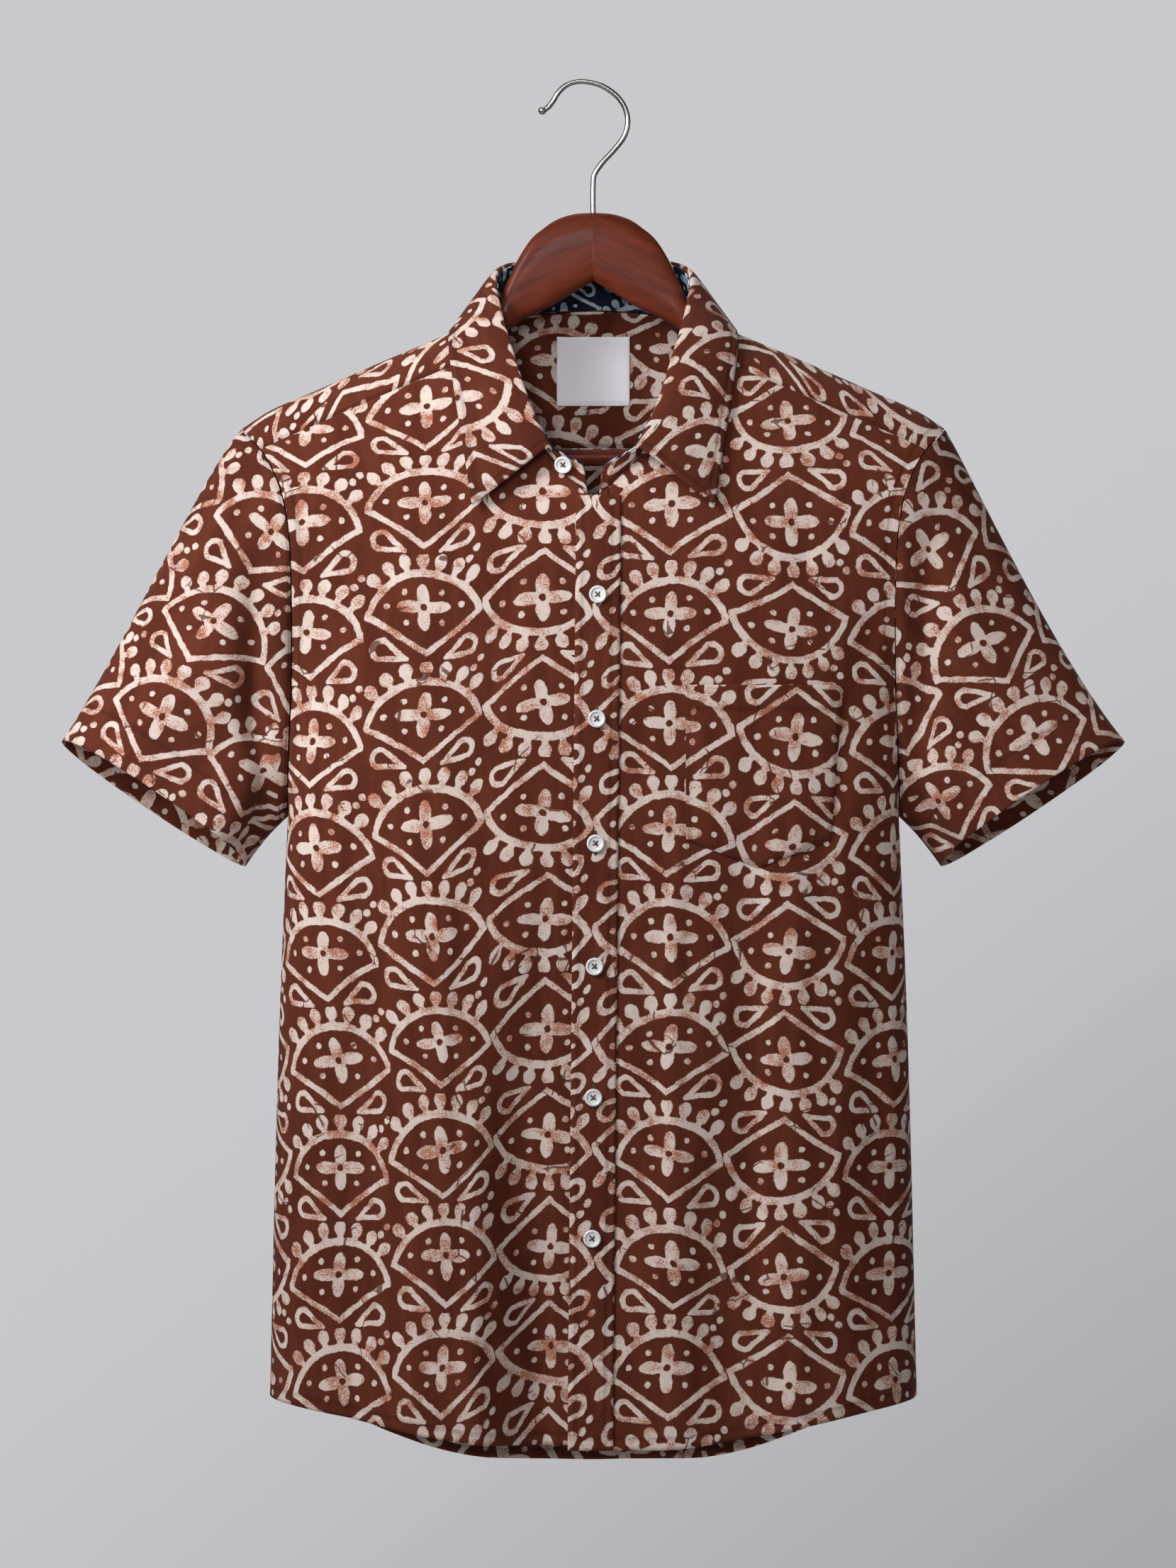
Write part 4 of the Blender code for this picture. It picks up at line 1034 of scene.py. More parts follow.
def pocket_grid(columns=48, rows=60):
    """The pocket's grid: a straight mouth, sides that lean in a little and a pointed foot."""
    c = np.linspace(0, 1, columns)[None, :]
    w = np.linspace(0, 1, rows)[:, None]
    foot = POCKET_POINT + (POCKET_CORNER - POCKET_POINT) * np.abs(2 * c - 1)
    z = foot + (POCKET_TOP - foot) * w
    share = np.clip((z - POCKET_CORNER) / (POCKET_TOP - POCKET_CORNER), 0, 1)
    right = POCKET_RIGHT_FOOT + (POCKET_RIGHT_TOP - POCKET_RIGHT_FOOT) * share
    s = share_at(POCKET_LEFT + (right - POCKET_LEFT) * c, z)
    stitched = np.minimum(np.minimum(c, 1 - c) * 0.1, w * 0.1)
    lift = 0.0010 + 0.0010 * soft_step(stitched / 0.012) + 0.0006 * w**8
    return s, z, torso(-1, s, z, lift=lift + 0 * z)


s, z, points = pocket_grid()
POCKET_EDGES = [("first_row", 0.0016), ("first_column", 0.0016), ("last_column", 0.0016), ("last_row", 0.0160)]
lines = nearest_line(points, POCKET_EDGES)
flat = body_cloth(-1, s, z, (FRONT_SHIFT[1][0] - 0.0030, FRONT_SHIFT[1][1] + 0.0022))
pieces["chest_pocket"] = thicken(grid_piece("chest_pocket_cloth", [(points, flat, lines)]), SHELL)
stitch_runs["chest_pocket"] = [inset_path(points, edge, inset) for edge, inset in POCKET_EDGES]
print("pocket grid", points.shape)

# %% [markdown]
# ## Neck label
#
# A woven label is a piece of satin ribbon, folded under and sewn all round inside the yoke. It
# is left bare here.

# %% Neck label
LABEL_WIDTH = 0.049


def label_grid(columns=40, rows=40):
    """The label's grid on the inside of the yoke, sunk to the cloth along its sewn edges."""
    c = np.linspace(-0.5, 0.5, columns)[None, :]
    z = -0.2066 + 0.0452 * np.linspace(0, 1, rows)[:, None] + 0 * c
    s = share_at(c * LABEL_WIDTH + 0 * z, z)
    puff = 0.0003 * (1 - np.abs(2 * c) ** 6)
    return s, z, torso(1, s, z, lift=-(0.0011 + puff + 0 * z))


s, z, points = label_grid()
LABEL_EDGES = [(edge, 0.0012) for edge in ("first_row", "last_row", "first_column", "last_column")]
lines = nearest_line(points, LABEL_EDGES)
pieces["neck_label"] = thicken(grid_piece("neck_label_satin", [(points, plain_cloth(points), lines)]), 0.0006)
stitch_runs["neck_label"] = [inset_path(points, edge, inset) for edge, inset in LABEL_EDGES]
print("label grid", points.shape)

# %% Stitches of every piece
sewing = {name: threads(name + "_stitches", runs) for name, runs in stitch_runs.items() if name != "neck_label"}
sewing["neck_label"] = threads("neck_label_stitches", stitch_runs["neck_label"], 0.0016, 0.0011, 0.00016)

# %% [markdown]
# ## Buttons
#
# A shirt button is turned with a raised rim round a flat well, and drilled with four holes. The
# button is one grid of rings and spokes; the holes are deep pits pushed into it, as a drill
# would, and two crossed threads hold it.

# %% Button form
BUTTON_RADIUS = 0.00575
BUTTON_THICK = 0.0024
BUTTON_Z = (-0.3384, -0.4186, -0.4988, -0.5780, -0.6623, -0.7530)
BUTTON_PROFILE = (
    (0.0, 0.60), (0.30, 0.60), (0.55, 0.60), (0.64, 0.64), (0.70, 0.80), (0.76, 0.95), (0.84, 1.0),
    (0.92, 0.95), (0.98, 0.80), (1.0, 0.60), (0.98, 0.36), (0.90, 0.14), (0.78, 0.02), (0.60, 0.0), (0.0, 0.0),
)
HOLE_PLACE = 0.00118
HOLE_RADIUS = 0.00062


def button_form(spokes=72, rings=64):
    """Rings of a turned profile; inside the well each point sinks where it is over a hole."""
    profile = evenly(np.array(BUTTON_PROFILE) * (BUTTON_RADIUS, BUTTON_THICK), np.linspace(0, 1, 200))
    profile = np.concatenate([evenly(profile[:70], np.linspace(0, 1, 34)), evenly(profile[70:], np.linspace(0, 1, rings - 34))])
    turn = np.arange(spokes) / spokes * 2 * math.pi
    x, y = profile[:, :1] * np.cos(turn), profile[:, :1] * np.sin(turn)
    z = profile[:, 1:] + 0 * turn
    top = np.arange(rings)[:, None] < rings * 0.5
    for hx, hy in ((1, 1), (1, -1), (-1, 1), (-1, -1)):
        away = np.hypot(x - hx * HOLE_PLACE, y - hy * HOLE_PLACE)
        z = z - np.where(top, 0.0011 * (1 - soft_step((away - HOLE_RADIUS * 0.75) / (HOLE_RADIUS * 0.5))), 0)
    return np.stack([x, y, z], -1)


def turned_frame(normal):
    """Three axes with the last along the normal and the second as upright as it can be."""
    normal = normal / np.linalg.norm(normal)
    side = np.cross((0, 0, 1), normal)
    side /= np.linalg.norm(side)
    return np.stack([side, np.cross(normal, side), normal])


BUTTON_FORM = button_form()


def place_button(name, centre, normal, twist):
    """A copy of the button's form, twisted a little about its middle and set on its cloth."""
    frame_axes = turned_frame(normal)
    c, s = math.cos(twist), math.sin(twist)
    form = BUTTON_FORM @ np.array([[c, s, 0], [-s, c, 0], [0, 0, 1]])
    faces = grid_faces(*BUTTON_FORM.shape[:2], ring=True)[:, ::-1]
    return new_mesh(name, form @ frame_axes + centre, faces, merge=2e-6)


def tube(path, radius, sides=8):
    """A round bar along a path: rings across it, with a ring of no size at each end to close it."""
    tangent = np.gradient(path, axis=0)
    tangent /= np.linalg.norm(tangent, axis=1, keepdims=True)
    side = np.cross(tangent, (0.31, 0.17, 0.93))
    side /= np.linalg.norm(side, axis=1, keepdims=True)
    other = np.cross(tangent, side)
    turn = np.arange(sides)[:, None] / sides * 2 * math.pi
    rings = path[:, None] + radius * (side[:, None] * np.cos(turn) + other[:, None] * np.sin(turn))
    ends = [np.repeat(path[k][None, None], sides, 1) for k in (0, -1)]
    return np.concatenate([ends[0], rings, ends[1]])


def button_threads(name, centre, normal, twist):
    """Threads that cross from hole to hole over the button's well."""
    axes = turned_frame(normal)
    c, s = math.cos(twist), math.sin(twist)
    axes = np.array([[c, s, 0], [-s, c, 0], [0, 0, 1]]) @ axes
    grids = []
    t = np.linspace(-1, 1, 13)
    for k, (hx, hy) in enumerate(((1, 1), (1, -1))):
        for offset in (-0.00016, 0.00016):
            x, y = t * hx * HOLE_PLACE - hy * offset, t * hy * HOLE_PLACE + hx * offset
            z = BUTTON_THICK * 0.60 + 0.00034 + 0.00018 * k - 0.0011 * np.abs(t) ** 6
            grids.append(tube(np.stack([x, y, z], 1) @ axes + centre, 0.00022))
    rows, sides = grids[0].shape[:2]
    faces = np.concatenate([grid_faces(rows, sides, ring=True) + rows * sides * i for i in range(len(grids))])
    return new_mesh(name, np.concatenate(grids).reshape(-1, 3), faces, merge=2e-6)


seat = LAYER_LIFT + 0.0009
buttons = {}
for i, height in enumerate(BUTTON_Z):
    height = np.array(height)
    s = share_at(band_centre(height), height)
    centre, normal = torso(-1, s, height, lift=seat), torso_normal(-1, s, height)
    twist = 0.12 * math.sin(2.1 * i)
    name = f"button_{i + 1}"
    buttons[name] = [
        place_button(name + "_shell", centre, normal, twist),
        button_threads(name + "_thread", centre, normal, twist),
    ]
print("buttons", len(buttons), "on the band")

# %% Stand button
stand_middle = ((neck_line + stand_top) / 2 * (-1, 1, 1))[-END_COLUMNS - 2 :]
stand_normal = (collar_outward() * (-1, 1, 1))[-END_COLUMNS // 2]
w = (-0.0190 - stand_middle[0, 0]) / (stand_middle[-1, 0] - stand_middle[0, 0])
centre = stand_middle[0] + (stand_middle[-1] - stand_middle[0]) * w + stand_normal * 0.0018
buttons["button_stand"] = [
    place_button("button_stand_shell", centre, stand_normal, 0.0),
    button_threads("button_stand_thread", centre, stand_normal, 0.0),
]
print("stand button at", centre.round(4))


# %% Buttonholes
def buttonhole_runs(height):
    """Paths of a buttonhole's edge: a long narrow oval whose short threads lie across it."""
    turn = np.linspace(0, 2 * math.pi, 90)
    x = 0.0010 * np.cos(turn)
    z = height + 0.0002 + 0.0076 * np.sign(np.sin(turn)) * np.abs(np.sin(turn)) ** 0.6
    s = share_at(band_centre(height) + x, z)
    ring = torso(-1, s, z, lift=0 * s + LAYER_LIFT + 0.0005)
    return ring, torso_normal(-1, s, z)


hole_paths = [buttonhole_runs(height) for height in BUTTON_Z]
across_runs = []
for ring, normal in hole_paths:
    tangent = np.gradient(ring, axis=0)
    tangent /= np.linalg.norm(tangent, axis=1, keepdims=True)
    out = np.cross(tangent, normal)
    for k in range(0, 89):
        across_runs.append((np.stack([ring[k] - out[k] * 0.0007, ring[k] + out[k] * 0.0007]), normal[k : k + 1].repeat(2, 0)))
holes = threads("buttonhole_stitches", across_runs, 0.0014, 0.0014, 0.00018, 0.00010)

# %% [markdown]
# ## Hanger
#
# The hanger is two shaped wooden halves joined at the middle, with a round bar below and a bent
# wire hook. Each half is a run of squared ovals whose sizes come from a table; the wire is a
# round section carried along the hook's curve, swelling to a small ball at its tip.

# %% Wooden halves and bar
ARM_TABLE = (
    (0.00003, -0.0840, -0.1290, 0.0075), (0.0130, -0.0850, -0.1368, 0.0075), (0.0250, -0.0890, -0.1440, 0.0075),
    (0.0330, -0.0945, -0.1482, 0.0075), (0.0400, -0.1003, -0.1515, 0.0075), (0.0495, -0.1145, -0.1565, 0.0075),
    (0.0560, -0.1285, -0.1610, 0.0075), (0.0607, -0.1385, -0.1655, 0.0073), (0.0668, -0.1525, -0.1720, 0.0074),
    (0.0790, -0.1630, -0.1810, 0.0082), (0.0940, -0.1690, -0.1925, 0.0106), (0.1200, -0.1797, -0.2070, 0.0130),
    (0.1500, -0.1920, -0.2255, 0.0150), (0.1850, -0.2075, -0.2480, 0.0165), (0.2100, -0.2185, -0.2590, 0.0160),
    (0.2230, -0.2290, -0.2600, 0.0120), (0.2265, -0.2370, -0.2550, 0.0060),
)
ARM_SQUARENESS = 2.6
BAR_RADIUS = 0.0055
BAR_Z = -0.2455
BAR_END = 0.1960


def arm_rings(sign, rings=150, sides=48):
    """Squared ovals along the arm, with smaller ones down to a point over each flat end."""
    share = np.concatenate([[0, 0.0004], np.linspace(0.002, 0.998, rings - 4), [0.9996, 1]])
    rows = along(ARM_TABLE, share)
    x, top, foot, half = rows.T
    middle, tall = (top + foot) / 2, (top - foot) / 2
    turn = np.arange(sides) / sides * 2 * math.pi
    power = 2 / ARM_SQUARENESS
    c = np.sign(np.cos(turn)) * np.abs(np.cos(turn)) ** power
    s = np.sign(np.sin(turn)) * np.abs(np.sin(turn)) ** power
    points = np.stack([sign * x[:, None] + 0 * c, half[:, None] * c, middle[:, None] + tall[:, None] * s], -1)
    shrink = np.array([0, 0.5, 0.9])[:, None, None]
    start, end = points[0].mean(0), points[-1].mean(0)
    first, last = start + (points[0] - start) * shrink, end + (points[-1] - end) * shrink[::-1]
    return np.concatenate([first, points, last])


hanger = {}
for name, sign in (("hanger_arm_right", -1), ("hanger_arm_left", 1)):
    rings = arm_rings(sign)
    faces = grid_faces(*rings.shape[:2], ring=True)
    hanger[name] = new_mesh(name + "_wood", rings, faces if sign < 0 else faces[:, ::-1], merge=1e-6)
bar_x = np.concatenate([[-BAR_END], np.linspace(-BAR_END, BAR_END, 60), [BAR_END]])
bar_path = np.stack([bar_x, 0 * bar_x, 0 * bar_x + BAR_Z], 1)
turn = np.arange(40) / 40 * 2 * math.pi
bar_radius = np.concatenate([[0], np.full(60, BAR_RADIUS), [0]])[:, None]
bar_points = np.stack(
    [bar_x[:, None] + 0 * turn, bar_radius * np.cos(turn), BAR_Z + bar_radius * np.sin(turn)], -1
)
hanger["hanger_bar"] = new_mesh("hanger_bar_wood", bar_points, grid_faces(62, 40, ring=True)[:, ::-1], merge=1e-6)
print("arm rings", rings.shape)

# %% Hook
WIRE_RADIUS = 0.00185
STEM_FOOT = -0.104
HOOK_PATH = (
    (0.0000, STEM_FOOT), (0.0000, -0.0880), (0.0000, -0.0660), (0.0006, -0.0595), (0.0050, -0.0522),
    (0.0142, -0.0420), (0.0206, -0.0332), (0.0228, -0.0245), (0.0214, -0.0160), (0.0175, -0.0092),
    (0.0118, -0.0040), (0.0050, 0.0000), (-0.0021, 0.0021), (-0.0103, 0.0026), (-0.0174, 0.0003),
    (-0.0230, -0.0048), (-0.0266, -0.0105), (-0.0300, -0.0146), (-0.0332, -0.0165), (-0.0362, -0.0173),
)
BALL_RADIUS = 0.0027


def hook_rings(steps=260, sides=24):
    """Rings across the hook's curve, with the radius of a ball over its last few millimetres."""
    dense = along([(x, 0, z) for x, z in HOOK_PATH], np.linspace(0, 1, 3000))
    total = float(np.sum(np.linalg.norm(np.diff(dense, axis=0), axis=1)))
    share = np.concatenate([np.linspace(0, 1 - 2 * BALL_RADIUS / total, steps - 24)[:-1]])
    turn = np.linspace(0, math.pi, 25)
    ball = 1 - (1 + np.cos(turn)) * BALL_RADIUS / total
    path = evenly(dense, np.concatenate([share, ball]))
    radius = np.concatenate([np.full(len(share), WIRE_RADIUS), np.maximum(BALL_RADIUS * np.sin(turn), 0)])
    radius[len(share) : len(share) + 12] = np.maximum(radius[len(share) : len(share) + 12], WIRE_RADIUS)
    tangent = np.gradient(path, axis=0)
    tangent /= np.maximum(np.linalg.norm(tangent, axis=1, keepdims=True), 1e-12)
    side = np.cross(tangent, (0, 1, 0))
    around = np.arange(sides) / sides * 2 * math.pi
    cross = side[:, None] * np.cos(around)[:, None] + np.array([0, 1, 0]) * np.sin(around)[:, None]
    rings = path[:, None] + radius[:, None, None] * cross
    return np.concatenate([np.repeat(path[:1, None], sides, 1), rings])


rings = hook_rings()
hanger["hanger_hook"] = new_mesh("hanger_hook_wire", rings, grid_faces(*rings.shape[:2], ring=True), merge=1e-6)
print("hook rings", rings.shape)

# %% [markdown]
# ## The block print
#
# The cloth was printed by hand with a wooden block, in wax or mud resist: the drawing stays pale
# and the ground takes the brown. The drawing can be made of distances: how far a point is from
# an arch, a line, a dot or a loop. Where the smallest of them is below zero, the block left its
# mark. Nothing is read from a picture, and the print stays sharp at any distance.


# %% Numbers that vary over the surface
class Field:
    """A node's output that can be added, multiplied and compared like a number."""

    def __init__(self, tree, socket):
        self.tree, self.socket = tree, socket

    def math(self, operation, *others, clamp=False):
        node = self.tree.nodes.new("ShaderNodeMath")
        node.operation, node.use_clamp = operation, clamp
        for i, value in enumerate((self, *others)):
            connect(self.tree, value, node.inputs[i])
        return Field(self.tree, node.outputs[0])

    def __add__(self, other):
        return self.math("ADD", other)

    def __sub__(self, other):
        return self.math("SUBTRACT", other)

    def __rsub__(self, other):
        return (self * -1.0) + other

    def __mul__(self, other):
        return self.math("MULTIPLY", other)

    def __truediv__(self, other):
        return self.math("DIVIDE", other)

    def least(self, other):
        return self.math("MINIMUM", other)

    def most(self, other):
        return self.math("MAXIMUM", other)

    def size(self):
        return self.math("ABSOLUTE")

    def soft_least(self, other, blend):
        return self.math("SMOOTH_MIN", other, blend)


def connect(tree, value, target):
    """Links a Field or a socket into a socket, or sets a plain number on it."""
    if isinstance(value, Field):
        tree.links.new(value.socket, target)
    elif isinstance(value, bpy.types.NodeSocket):
        tree.links.new(value, target)
    else:
        target.default_value = value


def hypot(a, b):
    """Length of the vector (a, b)."""
    return (a * a + b * b).math("SQRT")


def band(value, low, high):
    """0 below low, 1 above high, and a soft step between them."""
    node = value.tree.nodes.new("ShaderNodeMapRange")
    node.interpolation_type = "SMOOTHSTEP"
    connect(value.tree, value, node.inputs["Value"])
    node.inputs["From Min"].default_value, node.inputs["From Max"].default_value = low, high
    return Field(value.tree, node.outputs["Result"])


def noise(tree, vector, scale, detail=2.0, rough=0.5):
    """A Noise Texture; returns its value and its colour."""
    node = tree.nodes.new("ShaderNodeTexNoise")
    connect(tree, vector, node.inputs["Vector"])
    node.inputs["Scale"].default_value = scale
    node.inputs["Detail"].default_value = detail
    node.inputs["Roughness"].default_value = rough
    return Field(tree, node.outputs[0]), node.outputs["Color"]


def parts(tree, vector):
    """The X, Y and Z of a vector as Fields."""
    node = tree.nodes.new("ShaderNodeSeparateXYZ")
    connect(tree, vector, node.inputs[0])
    return [Field(tree, out) for out in node.outputs]


def joined(tree, x, y, z=0.0):
    """A vector from Fields or numbers."""
    node = tree.nodes.new("ShaderNodeCombineXYZ")
    for value, target in zip((x, y, z), node.inputs):
        connect(tree, value, target)
    return node.outputs[0]


def scaled(tree, vector, factors):
    """A vector times a plain vector, part by part."""
    node = tree.nodes.new("ShaderNodeVectorMath")
    node.operation = "MULTIPLY"
    connect(tree, vector, node.inputs[0])
    node.inputs[1].default_value = factors
    return node.outputs[0]


def new_group(name, inputs, outputs):
    """An empty shader node group with named sockets: each a name, a kind and a first value."""
    group = bpy.data.node_groups.new(name, "ShaderNodeTree")
    for title, kind, value in inputs:
        socket = group.interface.new_socket(title, in_out="INPUT", socket_type="NodeSocket" + kind)
        if value is not None:
            socket.default_value = value
    for title, kind in outputs:
        group.interface.new_socket(title, in_out="OUTPUT", socket_type="NodeSocket" + kind)
    start, end = group.nodes.new("NodeGroupInput"), group.nodes.new("NodeGroupOutput")
    return group, start, end


print("node helpers ready")


# %% The drawing of one block
def oval(x, y, wide, tall):
    """Near enough the distance to an oval: v (v - 1) / |slope|, where v is 1 on the oval."""
    value = hypot(x * (1 / wide), y * (1 / tall))
    slope = hypot(x * (1 / wide**2), y * (1 / tall**2)).most(1e-4)
    return value * (value - 1.0) / slope


def block_drawing(x, y, turn):
    """Distance in millimetres to the block's marks, below zero inside them; turn tilts the flower.

    The parts are an arch, two bowed lines that meet below it, seven drops on short stems round
    the arch, a flower of four petals with a hole, a few dots and two loops.
    """
    ax, low = x.size(), y + 16.2
    line_y = ax * 0.620 + ax * (37.0 - ax) * 0.0030 - 29.8
    above = (y - line_y) * 0.86
    arch = (hypot(x, low) - 38.45).size() - 2.55 + ax * 0.012
    arch = arch.most(above * -1.0 - 1.9)
    line = (above.size() - 1.9).most(ax - 38.6)
    shape = arch.soft_least(line, 0.8)
    # Drops: the nearest of seven places on a wider circle
    place = (x.math("ARCTAN2", low) * (1 / 0.267)).math("ROUND").most(-3.0).least(3.0) * 0.267
    sin, cos = place.math("SINE"), place.math("COSINE")
    dx, dy = x - sin * 47.2, low - cos * 47.2
    outward = cos * dy + sin * dx
    sideways = cos * dx - sin * dy
    drop = hypot(sideways, outward * 0.86) - 4.15
    stem = (sideways.size() - 2.0).most(outward).most(outward * -1.0 - 8.5)
    shape = shape.soft_least(drop.soft_least(stem, 1.6), 1.8)
    # Flower
    fx, fy = x + y * turn, y - x * turn
    wide = oval(fx.size() - 9.2, fy, 8.9, 4.0)
    tall = oval(fx, fy.size() - 7.6, 4.2, 7.4)
    flower = wide.soft_least(tall, 1.6).soft_least(hypot(x, y) - 4.7, 2.4).most(2.3 - hypot(x, y))
    # Dots
    dots = (hypot(ax - 12.9, y - 9.4) - 2.0).least(hypot(ax - 25.4, y) - 2.0)
    dots = dots.least(hypot(ax - 11.9, y + 10.3) - 1.9).least(hypot(x - 31.5, y - 26.4) - 2.4)
    dots = dots.least(hypot(x - 36.2, y - 31.6) - 2.4)
    # Loops: a cone from a round end to a point, kept as an outline
    bx, by = ax - 27.4, y + 26.7
    t = ((bx * -15.0 + by * -6.4) * (1 / (15.0**2 + 6.4**2))).most(0.0).least(1.0)
    cone = (hypot(bx + t * 15.0, by + t * 6.4) - (7.5 - t * 6.1)) * 0.93
    loops = (cone + 1.65).size() - 1.65
    return shape.least(flower).least(dots).least(loops)


def build_print_group():
    """The print: a plane of blocks, each with its own small slip and turn, and the worn marks on it."""
    group, start, end = new_group(
        "block print",
        [("Cloth", "Vector", None), ("Size", "Float", 1.0), ("Turned", "Float", 1.0)],
        [("Print", "Float"), ("Rust", "Float"), ("Ground", "Float")],
    )
    cloth = group.nodes.new("ShaderNodeVectorMath")
    cloth.operation = "SCALE"
    group.links.new(start.outputs["Cloth"], cloth.inputs[0])
    group.links.new(start.outputs["Size"], cloth.inputs["Scale"])
    flat = cloth.outputs[0]
    # A hand-cut block has an uneven edge, so the plane is stirred a little before it is measured
    _, wobble = noise(group, flat, 160.0, 2.0, 0.6)
    _, stretch = noise(group, flat, 15.0, 0.0)
    wx, wy, _ = parts(group, wobble)
    sx, sy, _ = parts(group, stretch)
    u, v, _ = parts(group, flat)
    x = u * 1000.0 + (wx - 0.5) * 2.4 + (sx - 0.5) * 9.0
    y = v * 1000.0 + (wy - 0.5) * 2.4 + (sy - 0.5) * 9.0
    pitch_x, pitch_y = COLUMN_PITCH * 1000, ROW_PITCH * 1000
    column = (x * (1 / pitch_x)).math("ROUND")
    # Of every five columns, the first and third are turned over, and each starts at its own height;
    # two neighbours bend one corner, up or down, so that they meet
    place = (column * 0.2).math("FRACT")
    ramp = group.nodes.new("ShaderNodeValToRGB")
    ramp.color_ramp.interpolation = "CONSTANT"
    stops = (
        (0.0, 0.96, 1, 0.0), (0.1, 0.50, 0, 0.5), (0.3, 0.13, 1, 0.5), (0.5, 0.05, 0, 0.5), (0.7, 0.58, 0, 1.0), (0.9, 0.96, 1, 0.0),
    )
    for i, (at, offset, turned, bend) in enumerate(stops):
        stop = ramp.color_ramp.elements[i] if i < 2 else ramp.color_ramp.elements.new(at)
        stop.position = at
        stop.color = (offset, turned, bend, 1)
    connect(group, place, ramp.inputs[0])
    offset, turned, bend = (Field(group, s) for s in separate_colour(group, ramp.outputs[0]))
    turned = turned * Field(group, start.outputs["Turned"])
    bend = (bend - 0.5) * 2.0 * Field(group, start.outputs["Turned"])
    one_side = ((x - column * pitch_x) * bend).most(0.0) * (1 / 37.0)
    y = y - bend * one_side * one_side * 8.5
    y = y - (offset - 0.5) * 24.0
    row = (y * (1 / pitch_y)).math("ROUND")
    white = group.nodes.new("ShaderNodeTexWhiteNoise")
    white.noise_dimensions = "2D"
    group.links.new(joined(group, column + 0.5, row + 0.5), white.inputs["Vector"])
    slip_x, slip_y, slip_turn = (Field(group, s) for s in separate_colour(group, white.outputs["Color"]))
    px = x - column * pitch_x + (slip_x - 0.5) * 1.2
    py = y - row * pitch_y + (slip_y - 0.5) * 0.8
    py = py * (1.0 - turned * 2.0)
    distance = block_drawing(px, py, (slip_turn - 0.5) * 0.34)
    mask = band(distance * -1.0, -0.35, 0.35)
    # Wax cracks: thin lines along the edges of irregular cells, kept only in some places
    cracks = group.nodes.new("ShaderNodeTexVoronoi")
    cracks.feature = "DISTANCE_TO_EDGE"
    cracks.inputs["Scale"].default_value = 62.0
    group.links.new(joined(group, x * 0.001, y * 0.001), cracks.inputs["Vector"])
    somewhere, _ = noise(group, flat, 38.0, 1.0)
    crack = band(Field(group, cracks.outputs["Distance"]), 0.034, 0.022) * band(somewhere, 0.60, 0.63)
    mask = mask * (1.0 - crack * 0.85)
    # Rust bleeds in patches, broken up into fine specks
    patch, _ = noise(group, flat, 62.0, 3.0, 0.62)
    speck, _ = noise(group, flat, 1000.0, 2.0, 0.7)
    rust = band(patch + (speck - 0.5) * 0.85, 0.47, 0.66)
    ground, _ = noise(group, scaled(group, flat, (1.0, 0.25, 1.0)), 60.0, 4.0, 0.6)
    connect(group, mask, end.inputs["Print"])
    connect(group, rust, end.inputs["Rust"])
    connect(group, ground, end.inputs["Ground"])
    return group


def separate_colour(tree, socket):
    """Red, green and blue of a colour as sockets."""
    node = tree.nodes.new("ShaderNodeSeparateColor")
    tree.links.new(socket, node.inputs[0])
    return node.outputs[:3]


PRINT = build_print_group()
print("print group nodes:", len(PRINT.nodes))

# %% [markdown]
# ## Weave and sewn lines
#
# Plain cotton has two sets of yarns that go over and under each other, a little uneven in
# thickness. One group gives that relief and the small change of shade along the yarns, and
# another sinks the cloth along its stitch lines, gathers it slightly beside them and gives the
# painted shade that darkens the cloth along them.


# %% Weave and seam groups
def build_weave_group():
    """Yarn relief: the product of two sine waves, with slubs stretched along each yarn."""
    group, start, end = new_group(
        "plain weave",
        [("Cloth", "Vector", None), ("Yarns", "Float", 2200.0)],
        [("Relief", "Float"), ("Shade", "Float")],
    )
    u, v, _ = parts(group, start.outputs["Cloth"])
    yarns = Field(group, start.outputs["Yarns"])
    across = (u * yarns * math.pi).math("SINE")
    down = (v * yarns * math.pi).math("SINE")
    slub_a, _ = noise(group, scaled(group, start.outputs["Cloth"], (1.0, 0.06, 1.0)), 2400.0, 2.0, 0.6)
    slub_b, _ = noise(group, scaled(group, start.outputs["Cloth"], (0.06, 1.0, 1.0)), 2400.0, 2.0, 0.6)
    relief = across * down * 0.30 + slub_a * 0.5 + slub_b * 0.5
    streak, _ = noise(group, scaled(group, start.outputs["Cloth"], (1.0, 0.03, 1.0)), 420.0, 3.0, 0.6)
    shade = slub_a * 0.45 + slub_b * 0.30 + streak * 0.25
    connect(group, relief, end.inputs["Relief"])
    connect(group, shade, end.inputs["Shade"])
    return group


def build_seam_group():
    """Height near a stitch line: a groove, with small gathers that die away from it; its second output is painted shade
    along the groove.
    """
    group, start, end = new_group(
        "sewn line",
        [("Distance", "Float", 1.0), ("Cloth", "Vector", None)],
        [("Height", "Float"), ("Seam Shade", "Float")],
    )
    distance = Field(group, start.outputs["Distance"]).size()
    groove = band(distance, 0.0022, 0.0) * -1.0
    gather, _ = noise(group, start.outputs["Cloth"], 190.0, 2.0, 0.5)
    height = groove * 0.55 + (gather - 0.5) * band(distance, 0.010, 0.0005) * 1.3
    # Painted shade: a band along the stitch line, where the groove lies, that darkens the cloth's colour
    wear = band(distance, 0.0026, 0.0003)
    connect(group, height, end.inputs["Height"])
    connect(group, wear, end.inputs["Seam Shade"])
    return group


WEAVE = build_weave_group()
SEAM = build_seam_group()
print("weave nodes:", len(WEAVE.nodes), "seam nodes:", len(SEAM.nodes))


# %% Cloth materials
def place_group(tree, group, **values):
    """An instance of a group, with its inputs linked or set by name."""
    node = tree.nodes.new("ShaderNodeGroup")
    node.node_tree = group
    for title, value in values.items():
        connect(tree, value, node.inputs[title.replace("_", " ")])
    return node


